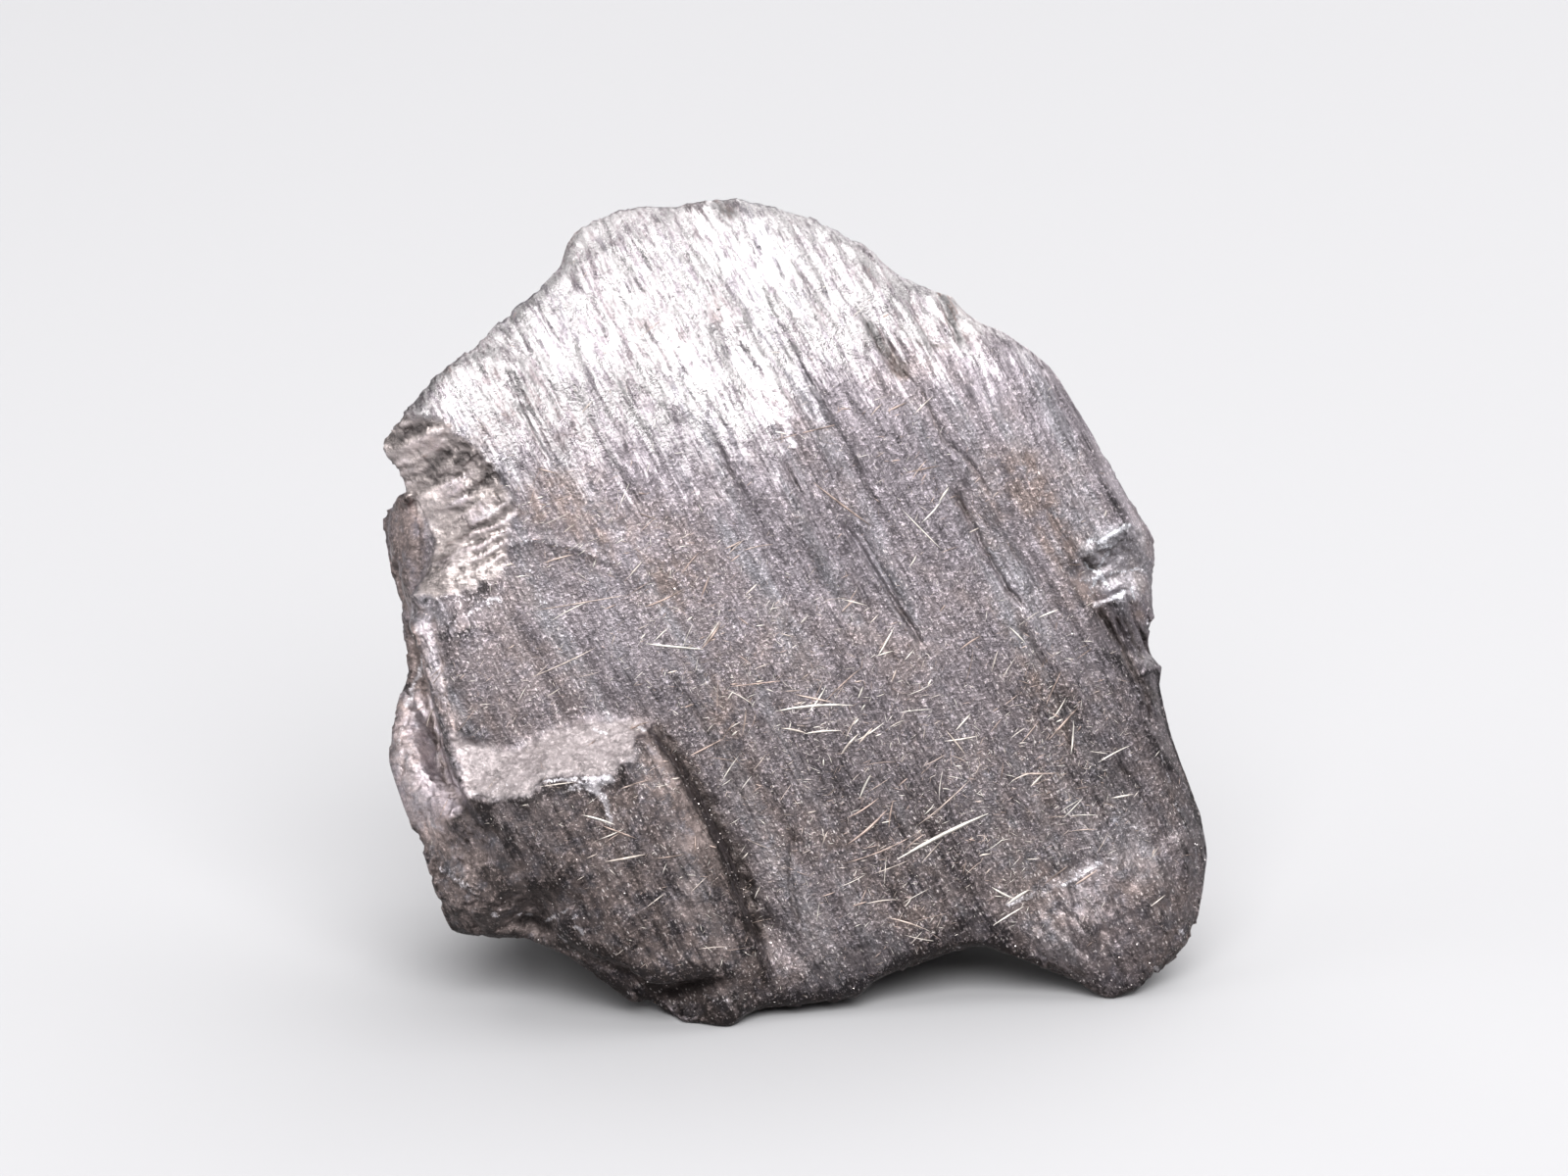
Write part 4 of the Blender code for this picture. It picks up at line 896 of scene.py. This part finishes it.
def stoneMaterial():
    made, tree, shader = newMaterial("darkAndorite")
    wire = Wire(tree)
    look = stoneLook
    amount = stoneValues
    masks = {name: wire.node("ShaderNodeAttribute", {"attribute_name": name}, {}, "Fac")
             for name in maskNames}
    leftFacet, ledge, block, hollow, lobe, rest, chip = (masks[name] for name in maskNames[:7])
    raised, deep, browned, paleAndHighlights, darkAndShade, crestHighlight, upper, lit = (masks[name] for name in maskNames[10:])

    def weighed(thing):    # the sum of the areas' masks, each times its weight
        return sum(masks[name] * weight for name, weight in areaWeights[thing].items())

    face = faceCoords(wire)
    grain = face.placed(turn=(0, 0, -math.radians(stance["striaTurn"])))
    side = (masks["sideStrip"] + masks["sideBulge"]).clipped()
    plain = (1 - leftFacet - ledge - block - hollow - rest - side).clipped()
    masks["plain"] = plain
    striated = weighed("striated").clipped()

    bands = grain.placed((0.10, 0.9, 0.5)).noise(1.0, 3.0, 0.6)
    lines = grain.placed((0.22, 3.6, 2.0)).noise(1.0, 3.0, 0.65)
    hairs = grain.placed((0.7, 12.0, 6.0)).noise(1.0, 2.0, 0.6)
    flakes = grain.placed((1.0, 4.2, 2.0)).noise(1.0, 3.0, 0.7)
    foil = face.placed((1.1, 5.5, 2.0), (0, 0, -math.radians(stoneShape["rippleTurn"]))).noise(1.0, 3.0, 0.65)
    patches = face.noise(0.25, 4.0, 0.6)
    mottle = face.noise(1.6, 4.0, 0.65)
    grit = face.noise(8.0, 3.0, 0.75)

    height = wire.node("ShaderNodeSeparateXYZ", {}, {"Vector": face}, 1)
    lower = 1 - height.between(-9.0, 3.0)
    streaked = upper.most(height.between(2.0, 5.0))
    broken = ((grit - 0.5) * 1.1 + (mottle - 0.5) * 0.8) * (1 - streaked)
    broken = broken + (flakes + lines * 0.6 - 0.8) * streaked * 2.0
    flaked = (paleAndHighlights + broken).between(0.35, 0.7)
    crumbs = grit.between(0.53, 0.68)
    coarse = grit.between(0.4, 0.6)
    busy = (patches + (lines - 0.5) * 0.8).between(0.3, 0.6) * 0.6 + 0.4

    value = look["base"] + (bands - 0.5) * amount["bands"] + (mottle - 0.5) * amount["mottle"]
    value = value + (grit - 0.5) * amount["grit"]
    value = value + crumbs * busy * (amount["crumbs"] - upper * 0.11) - lower * amount["lower"]
    striations = (lines - 0.5) * amount["lines"] + (hairs - 0.5) * amount["hairs"] * (1 - upper * 0.65)
    value = value + striations * striated * (1 - lower * 0.3)
    faceCrumbs = (1 - lower) * amount["faceCrumbs"] + browned.clipped() * amount["faceCrumbs"]
    value = value + crumbs * plain * (1 - upper) * faceCrumbs
    # Painted highlight: the highlight zone is made lighter, in bright flakes along the grain.
    shine = (flakes + upper * 0.2 + (hairs - 0.5) * 0.25).between(0.54, 0.74) * striated
    value = value + upper * amount["upper"]
    value = value + shine * upper.between(0.02, 0.35) * (amount["shine"] - upper * 0.165)
    # Painted light and shade from the lit mask.
    value = value + lit + weighed("value")
    # Painted shade from the deep mask, and painted highlight on raised points.
    value = value - (0.5 - deep).between(0.03, 0.5) * amount["deep"]
    value = value + (raised - 0.5).between(0.06, 0.4) * amount["raised"]
    ledgeSpots = mottle.between(0.55, 0.68) * amount["ledgeSpots"] + (0.5 - grit) * amount["ledgeGrit"]
    value = value - ledge * ledgeSpots + chip * grit * amount["chip"]
    value = value + (leftFacet + side) * (grit - 0.5) * amount["brokenGrit"]
    value = value + (leftFacet * 0.9 + side * 0.4) * (foil - 0.5)
    blockLines = (lines - 0.5) * amount["blockLines"] + (mottle - 0.5) * amount["blockMottle"] - 0.01
    value = value + block * blockLines
    # Darker marks and painted shade darken the value.
    value = value * (1 - darkAndShade * (amount["darkAndShade"] + coarse * 0.3))
    # Paler marks and painted glints and highlights, broken into flakes.
    value = value + flaked * paleAndHighlights.clipped() * (amount["paleAndHighlights"] + crumbs * amount["paleCrumbs"] + upper * 0.05)
    # Painted highlight on the ripple crests and rungs; in the highlight zone the value is held up as painted
    # highlight.
    value = (value + crestHighlight * (amount["crestHighlight"] + coarse * 0.2)).most(upper * 0.06 + look["darkest"])

    brownness = browned * 0.8 + patches.between(0.42, 0.7) * 0.6 + lobe * 0.1 + masks["sideStrip"] * 0.8
    brownness = (brownness + block * 0.35 + hollow * 0.4 + lower * 0.4) * mottle.between(0.25, 0.6)
    tint = bands.between(0.45, 0.65).blended(look["steel"], look["blueSteel"])
    tint = tint.mixed(look["brown"], (brownness + darkAndShade * 0.8).clipped())
    tint = tint.mixed(look["pink"], ledge * 0.9)
    tint = tint.mixed(look["ice"], (chip * 0.5 + flaked * (1 - upper) * 0.7).clipped())
    tint = tint.mixed(look["gold"], (leftFacet * (1 - crestHighlight)).clipped())
    # The highlight zone takes the painted highlight's tint.
    tint = tint.mixed(look["highlightWhite"], (shine * upper).clipped())

    # Bright specks: dust, and painted glints.
    dashes = grain.placed((4.0, 10.0, 8.0)).dots(1.0, 0.36, 0.4)
    specks = dashes.most(face.dots(6.5, 0.24, 0.3))
    specks = specks * (busy * (0.65 + lower * 0.15) * (1 - darkAndShade * 0.4) * (1 - upper * 0.6))
    specks = (specks * weighed("specks").clipped()).clipped()
    colour = tint.scaled(value).mixed(look["speck"], specks * (grit * 0.75))

    tree.links.new(colour.socket, shader.inputs["Base Color"])
    metal = look["metallic"] - hollow * 0.15 - ledge * 0.4 - specks * 0.5
    tree.links.new(metal.clipped().socket, shader.inputs["Metallic"])
    roughness = (look["roughness"] + (mottle - 0.5) * 0.2 + (grit - 0.5) * 0.2 + ledge * 0.1 + block * 0.08
                 - upper * 0.08 + rest * 0.04 + brownness.clipped() * 0.1)
    tree.links.new(roughness.clipped().socket, shader.inputs["Roughness"])

    strips = grain.placed((0.5, 5.0, 2.0)).planes()
    chunks = face.placed((6.0, 6.0, 6.0)).planes()
    bumps = (strips * striated * 0.6 + chunks * (0.35 + hollow + rest * 0.6 + leftFacet * 0.4 + ledge)
              + (grit - 0.5) * 0.7)
    bump = wire.node("ShaderNodeBump", {}, {"Height": bumps, "Strength": 1.0,
                                            "Distance": look["bump"] * mm}, "Normal")
    tree.links.new(bump.socket, shader.inputs["Normal"])
    return made


stone.data.materials.append(stoneMaterial())
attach(stone, "root")
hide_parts(nodeName)
print("stone finished")


# Bright needles and hairs that lie on the face.

needles = {
    "count": 340, "shortest": 0.25, "longest": 1.4, "width": 0.026,    # lengths and half width, mm
    "turn": 34.0, "spread": 30.0,       # degrees from u
    "seed": 11,
}
hairs = {
    "count": 3200, "shortest": 0.08, "longest": 0.45, "width": 0.012,
    "turn": 25.0, "spread": 50.0,
    "seed": 12,
}
lying = {
    "reach": ((-13.5, 15.3), (-15, 14.5)),    # where needles may lie, in u and v, mm
    "shortBias": 2.2,         # above 1, most of them are short
    "stray": 0.08,            # the chance of a needle away from the crowded places
    "bow": 0.04,              # largest bow, as a share of the length
    "lift": 0.2,              # height of the axis over the stone, in half widths
    "facing": 0.55,           # they lie only where the stone faces forward at least this much
    "deepest": -6,            # and not further back than this, mm
}
placedNeedles = [    # both ends on the face, half width, mm
    ((2.32, -8.57), (3.75, -7.32), 0.063),
    ((4.11, -9.14), (7.43, -7.50), 0.086),
    ((1.07, 4.54), (3.18, 2.96), 0.046),
    ((-0.32, -3.75), (2.50, -3.54), 0.051),
    ((-0.11, -4.36), (0.79, -4.54), 0.046),
    ((2.86, -2.86), (2.68, -3.29), 0.040),
    ((3.43, -1.71), (4.00, -0.71), 0.040),
    ((-3.00, -1.50), (-2.29, -0.54), 0.051),
    ((-5.00, -1.29), (-2.93, -1.50), 0.046),
    ((0.71, -4.57), (2.07, -4.46), 0.040),
    ((2.07, -5.32), (2.71, -4.57), 0.057),
    ((2.71, -4.93), (3.21, -4.36), 0.051),
    ((0.43, -3.14), (1.79, -3.43), 0.046),
    ((4.82, -7.93), (6.79, -6.25), 0.028),
    ((8.64, -6.04), (10.00, -6.04), 0.040),
    ((9.00, -6.50), (9.43, -6.07), 0.051),
    ((8.14, -10.79), (8.93, -10.29), 0.069),
    ((3.75, -11.25), (5.18, -11.71), 0.040),
    ((-3.00, 0.36), (-2.68, 1.18), 0.040),
    ((-2.93, -1.32), (-2.32, -0.46), 0.040),
    ((1.50, -3.39), (2.86, -2.14), 0.034),
    ((2.75, -6.89), (3.14, -6.07), 0.046),
    ((6.25, -4.46), (6.79, -3.86), 0.040),
    ((9.64, -4.82), (10.79, -3.57), 0.057),
    ((10.46, -5.36), (10.57, -4.11), 0.037),
    ((8.21, -0.71), (8.79, -1.29), 0.034),
    ((9.29, -0.36), (10.00, -0.07), 0.040),
    ((4.29, 3.57), (5.71, 2.14), 0.029),
    ((5.89, -4.46), (6.61, -5.36), 0.034),
    ((5.64, 3.86), (6.00, 4.39), 0.051),
    ((-5.14, 0.00), (-3.57, 0.71), 0.034),
    ((-5.71, -4.46), (-4.82, -4.11), 0.040),
    ((-6.50, -7.82), (-5.29, -8.29), 0.046),
    ((-7.21, -7.43), (-6.07, -7.79), 0.040),
    ((-6.43, -9.11), (-5.00, -8.86), 0.057),
    ((7.57, -10.18), (8.39, -10.61), 0.046),
    ((2.14, -9.29), (4.82, -8.21), 0.029),
    ((-2.00, -2.86), (0.00, -2.64), 0.034),
    ((-3.57, -5.43), (-2.14, -4.71), 0.040),
    ((-4.57, -9.00), (-3.57, -8.86), 0.040),
    ((10.18, -7.68), (10.89, -6.96), 0.029),
    ((10.50, -10.18), (11.43, -9.57), 0.046),
    ((7.61, -11.57), (8.75, -10.89), 0.034),
    ((3.75, 7.14), (4.46, 7.46), 0.046),
    ((-0.36, 6.07), (2.50, 6.79), 0.026),
    ((4.64, 4.64), (5.18, 5.36), 0.029),
    ((-9.11, -2.50), (-6.79, -1.43), 0.029),
    ((-8.82, -0.07), (-5.71, 0.46), 0.026),
]
crowded = [    # where needles gather: points u, v, half width in mm and strength
    ([(-0.2, -3.2), (2.2, -4.9)], 0.7, 0.9),
    ([(2.6, -5.8), (4.9, -9.2)], 0.8, 0.9),
    ([(9.6, -3.9), (10.8, -6.2)], 0.7, 0.8),
    ([(3.6, -9.6), (5.3, -11.8)], 0.7, 0.9),
    ([(6.8, -9.0), (8.8, -11.0)], 0.7, 0.8),
    ([(-4.9, -5.0), (-3.1, -8.2), (-1.0, -12.0)], 0.6, 0.9),
    ([(-8.5, 4.5), (-5.5, 3.0), (-4.0, 1.0)], 1.2, 0.7),
    ([(-8.0, 2.5), (-3.0, 1.5), (1.0, 0.5)], 1.6, 0.7),
    ([(-3.5, -2.5), (1.0, -4.5), (2.0, -8.0)], 2.4, 1.0),
    ([(4.0, -4.0), (6.0, -8.0)], 3.0, 1.0),
    ([(9.5, -2.0), (10.5, -6.5)], 1.8, 0.9),
    ([(2.5, 6.5), (6.0, 4.0)], 1.5, 0.5),
    ([(-8.0, -6.5), (-5.0, -9.5)], 1.8, 0.35),
    ([(-12.0, -3.0), (-9.0, -3.5)], 1.2, 0.5),
]


def faceTree(data):
    bm = bmesh.new()
    bm.from_mesh(data)
    tree = BVHTree.FromBMesh(bm)
    bm.free()
    return tree


def onFace(tree, u, v):    # the point of the stone behind u, v, and its normal
    start = Vector(toRow(np.array([[u, v, 6.0]]))[0])
    return tree.ray_cast(start, -standUp.col[2])[:2]


def needleEnds(settings):
    rng = np.random.RandomState(settings["seed"])
    ends = []
    while len(ends) < settings["count"]:
        u, v, pick = rng.uniform(*lying["reach"][0]), rng.uniform(*lying["reach"][1]), rng.uniform()
        turn = math.radians(settings["turn"] + rng.normal() * settings["spread"])
        spare = settings["longest"] - settings["shortest"]
        length = settings["shortest"] + spare * rng.uniform() ** lying["shortBias"]
        width = settings["width"] * (0.5 + rng.uniform() ** 2)
        crowd = strokeSum(crowded, np.array([u]), np.array([v]))[0]
        if pick < lying["stray"] + crowd:
            half = Vector((math.cos(turn), math.sin(turn))) * length / 2
            ends.append(((u - half.x, v - half.y), (u + half.x, v + half.y), width))
    return ends


def needlePaths(name, ends, tree, steps, seed):    # each needle as a row of points on the stone
    rng = np.random.RandomState(seed)
    points, pairs, widths, tones = [], [], [], []
    for start, end, width in ends:
        row = []
        bow = rng.uniform(-lying["bow"], lying["bow"])
        for k in range(steps + 1):
            t = k / steps
            side = bow * 4 * t * (1 - t)
            u = start[0] + (end[0] - start[0]) * t - (end[1] - start[1]) * side
            v = start[1] + (end[1] - start[1]) * t + (end[0] - start[0]) * side
            place, normal = onFace(tree, u, v)
            if place is None or (normal @ standUp)[2] < lying["facing"]:
                break
            if toFace(np.array(place))[2] < lying["deepest"]:
                break
            row.append(place + normal * lying["lift"] * width * mm)
        if len(row) < steps + 1:
            continue
        tone = rng.uniform()
        pairs += [(len(points) + k, len(points) + k + 1) for k in range(steps)]
        points += row
        widths += [width * mm] * len(row)
        tones += [tone] * len(row)
    data = bpy.data.meshes.new(name)
    data.from_pydata(points, pairs, [])
    numberAttribute(data, "width", np.array(widths))
    numberAttribute(data, "tone", np.array(tones))
    return newObject(name, data)


class Nodes:    # a Geometry Nodes tree under construction
    def __init__(self, name):
        self.tree = bpy.data.node_groups.new(name, "GeometryNodeTree")
        self.tree.interface.new_socket("Geometry", in_out="OUTPUT", socket_type="NodeSocketGeometry")
        self.inputs = {}

    def input(self, name, kind, value=None):
        socket = self.tree.interface.new_socket(name, in_out="INPUT", socket_type=kind)
        self.inputs[name] = (socket.identifier, value)

    def start(self):
        self.entry = self.tree.nodes.new("NodeGroupInput")

    def given(self, name):
        return self.entry.outputs[name]

    def add(self, kind, settings, inputs, output=0):
        made = self.tree.nodes.new(kind)
        for name, value in settings.items():
            setattr(made, name, value)
        for name, value in inputs.items():
            if isinstance(value, bpy.types.NodeSocket):
                self.tree.links.new(value, made.inputs[name])
            else:
                made.inputs[name].default_value = value
        return made.outputs[output]

    def finish(self, geometry):
        end = self.tree.nodes.new("NodeGroupOutput")
        self.tree.links.new(geometry, end.inputs[0])

    def bake(self, made):    # the result as a plain mesh
        modifier = made.modifiers.new("nodes", "NODES")
        modifier.node_group = self.tree
        for identifier, value in self.inputs.values():
            if value is not None:
                modifier[identifier] = value
        return applied(made)


needleFinish = {"dull": (0.62, 0.47, 0.41, 1), "bright": (0.88, 0.83, 0.76, 1), "metallic": 0.45}


def needleMaterial():
    made, tree, shader = newMaterial("brightNeedle")
    wire = Wire(tree)
    tone = wire.node("ShaderNodeAttribute", {"attribute_name": "tone"}, {}, "Fac")
    patchy = faceCoords(wire).noise(2.5, 2.0)
    colour = tone.between(0.2, 0.9).blended(needleFinish["dull"], needleFinish["bright"])
    colour = colour.scaled((0.16 + tone * 0.34 + patchy.between(0.3, 0.62) * 0.35).clipped())
    tree.links.new(colour.socket, shader.inputs["Base Color"])
    shader.inputs["Metallic"].default_value = needleFinish["metallic"]
    tree.links.new((0.3 + tone * 0.2).socket, shader.inputs["Roughness"])
    return made


def makeNeedles(name, ends, settings, steps, sides, material, tree):
    made = needlePaths(name, ends, tree, steps, settings["seed"] + 50)
    nodes = Nodes(name + "Tree")
    nodes.input("Geometry", "NodeSocketGeometry")
    nodes.input("Sides", "NodeSocketInt", sides)
    nodes.input("Thickness", "NodeSocketFloat", 1.0)
    nodes.input("Material", "NodeSocketMaterial", material)
    nodes.start()
    curve = nodes.add("GeometryNodeMeshToCurve", {}, {0: nodes.given("Geometry")})
    width = nodes.add("GeometryNodeInputNamedAttribute", {"data_type": "FLOAT"}, {"Name": "width"})
    factor = nodes.add("GeometryNodeSplineParameter", {}, {})
    away = nodes.add("ShaderNodeMath", {"operation": "SUBTRACT"}, {0: 1.0, 1: factor})
    hump = nodes.add("ShaderNodeMath", {"operation": "MULTIPLY"}, {0: factor, 1: away})
    hump = nodes.add("ShaderNodeMath", {"operation": "MULTIPLY_ADD"}, {0: hump, 1: 3.4, 2: 0.15})
    radius = nodes.add("ShaderNodeMath", {"operation": "MULTIPLY"}, {0: hump, 1: width})
    radius = nodes.add("ShaderNodeMath", {"operation": "MULTIPLY"}, {0: radius, 1: nodes.given("Thickness")})
    profile = nodes.add("GeometryNodeCurvePrimitiveCircle", {},
                        {"Resolution": nodes.given("Sides"), "Radius": 1.0})
    tube = nodes.add("GeometryNodeCurveToMesh", {},
                     {"Curve": curve, "Profile Curve": profile, "Scale": radius, "Fill Caps": True})
    tube = nodes.add("GeometryNodeRealizeInstances", {}, {0: tube})
    tube = nodes.add("GeometryNodeSetMaterial", {}, {"Geometry": tube, "Material": nodes.given("Material")})
    nodes.finish(tube)
    data = nodes.bake(made)
    data.calc_loop_triangles()
    print(name, "finished:", len(data.loop_triangles), "triangles")
    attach(made, "root")
    return made


stoneTree = faceTree(stone.data)
needleLook = needleMaterial()
makeNeedles("needles", needleEnds(needles) + placedNeedles, needles, 4, 5, needleLook, stoneTree)
makeNeedles("fine_hairs", needleEnds(hairs), hairs, 2, 4, needleLook, stoneTree)


# Bright grains, thickest on the broken parts.

grains = {
    "Density": 7.0, "Smallest": 0.012, "Largest": 0.036,    # per square millimetre, and half size in mm
    "Seed": 5,
}


grainFinish = {"dull": (0.42, 0.35, 0.32, 1), "bright": (0.78, 0.73, 0.72, 1), "metallic": 0.7}


def grainMaterial():
    made, tree, shader = newMaterial("brightGrain")
    wire = Wire(tree)
    patchy = faceCoords(wire).noise(4.0, 1.0)
    colour = patchy.between(0.35, 0.65).blended(grainFinish["dull"], grainFinish["bright"])
    tree.links.new(colour.socket, shader.inputs["Base Color"])
    shader.inputs["Metallic"].default_value = grainFinish["metallic"]
    tree.links.new((0.15 + patchy * 0.25).socket, shader.inputs["Roughness"])
    return made


def makeGrains():
    made = newObject("grains", bpy.data.meshes.new("grains"))
    nodes = Nodes("grainTree")
    nodes.input("Stone", "NodeSocketObject", stone)
    nodes.input("Density", "NodeSocketFloat", grains["Density"])
    nodes.input("Smallest", "NodeSocketFloat", grains["Smallest"] * mm)
    nodes.input("Largest", "NodeSocketFloat", grains["Largest"] * mm)
    nodes.input("Seed", "NodeSocketInt", grains["Seed"])
    nodes.input("Material", "NodeSocketMaterial", grainMaterial())
    nodes.start()
    surface = nodes.add("GeometryNodeObjectInfo", {}, {"Object": nodes.given("Stone")}, "Geometry")
    share = nodes.add("GeometryNodeInputNamedAttribute", {"data_type": "FLOAT"}, {"Name": "grainy"})
    density = nodes.add("ShaderNodeMath", {"operation": "MULTIPLY"}, {0: share, 1: nodes.given("Density")})
    density = nodes.add("ShaderNodeMath", {"operation": "MULTIPLY"}, {0: density, 1: 1 / mm ** 2})
    places = nodes.add("GeometryNodeDistributePointsOnFaces", {},
                       {"Mesh": surface, "Density": density, "Seed": nodes.given("Seed")})
    grain = nodes.add("GeometryNodeMeshCone", {},
                      {"Vertices": 4, "Side Segments": 1, "Radius Top": 0.45, "Radius Bottom": 1.0,
                       "Depth": 1.3}, "Mesh")
    turn = nodes.add("FunctionNodeRandomValue", {"data_type": "FLOAT_VECTOR"},
                     {"Min": (0, 0, 0), "Max": (6.28, 6.28, 6.28), "Seed": 3})
    size = nodes.add("FunctionNodeRandomValue", {"data_type": "FLOAT"},
                     {"Min": nodes.given("Smallest"), "Max": nodes.given("Largest"), "Seed": 4}, 1)
    placed = nodes.add("GeometryNodeInstanceOnPoints", {},
                       {"Points": places, "Instance": grain, "Rotation": turn, "Scale": size})
    placed = nodes.add("GeometryNodeRealizeInstances", {}, {0: placed})
    placed = nodes.add("GeometryNodeSetMaterial", {},
                       {"Geometry": placed, "Material": nodes.given("Material")})
    nodes.finish(placed)
    data = nodes.bake(made)
    data.calc_loop_triangles()
    print("grains finished:", len(data.loop_triangles), "triangles")
    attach(made, "root")


makeGrains()


# Camera, floor and lights.

view = {
    "elevation": 18.0, "width": 14.0,    # degrees
    "distance": 232.7,
    "aim": (0.0, 0.714, -1.7),           # on the face, mm
    "sensor": 36,
}


def lookFrom(made, aim, azimuth, elevation, distance):    # stands off at these angles and looks at the aim
    a, e = math.radians(azimuth), math.radians(elevation)
    back = Vector((math.sin(a) * math.cos(e), -math.cos(a) * math.cos(e), math.sin(e)))
    made.location = aim + back * distance
    made.rotation_euler = back.to_track_quat("Z", "Y").to_euler()


def addCamera():
    data = bpy.data.cameras.new("camera")
    data.sensor_width = view["sensor"]
    data.lens = view["sensor"] / 2 / math.tan(math.radians(view["width"] / 2))
    data.clip_start = 0.01
    made = newObject("camera", data)
    aim = Vector(toRow(np.array([view["aim"]]))[0])
    lookFrom(made, aim, 0, view["elevation"], view["distance"] * mm)
    bpy.context.scene.camera = made
    return aim


def addSoftbox(name, azimuth, elevation, distance, width, height, power, aim):
    data = bpy.data.lights.new(name, "AREA")
    data.shape = "RECTANGLE"
    data.size = width
    data.size_y = height
    data.energy = power
    lookFrom(newObject(name, data), aim, azimuth, elevation, distance)


lights = {    # azimuth and elevation in degrees, distance, width and height in metres, power in watts
    "frontBox": (6, 46, 0.6, 0.56, 0.42, 7.8),
    "topBox": (180, 74, 0.65, 0.9, 0.7, 4.6),
    "leftBox": (-78, 20, 0.6, 0.42, 0.42, 1.3),
    "rightBox": (128, 34, 0.6, 1.0, 0.7, 4.0),
    "backBox": (182, 42, 0.6, 0.8, 0.4, 1.2),
}

aim = addCamera()
for name, settings in lights.items():
    addSoftbox(name, *settings, aim)

studio = {
    "skyColour": (0.98, 0.96, 1.0, 1), "skyStrength": 0.26,
    "floorColour": (0.3, 0.298, 0.305, 1), "floorRoughness": 0.9,
    "floorHalf": 2.0,                    # half its width, metres
}
world = bpy.data.worlds.new("studio")
bpy.context.scene.world = world
world.use_nodes = True
world.node_tree.nodes["Background"].inputs["Color"].default_value = studio["skyColour"]
world.node_tree.nodes["Background"].inputs["Strength"].default_value = studio["skyStrength"]

floorCorners = np.array([(-1, -1, 0), (1, -1, 0), (1, 1, 0), (-1, 1, 0)]) * studio["floorHalf"]
floor = newObject("floor", meshFrom("floor", floorCorners, np.array([(0, 1, 2, 3)])))
floorLook, _, floorShader = newMaterial("paleFloor")
floorShader.inputs["Base Color"].default_value = studio["floorColour"]
floorShader.inputs["Roughness"].default_value = studio["floorRoughness"]
floor.data.materials.append(floorLook)

bpy.context.scene.view_settings.view_transform = "Standard"
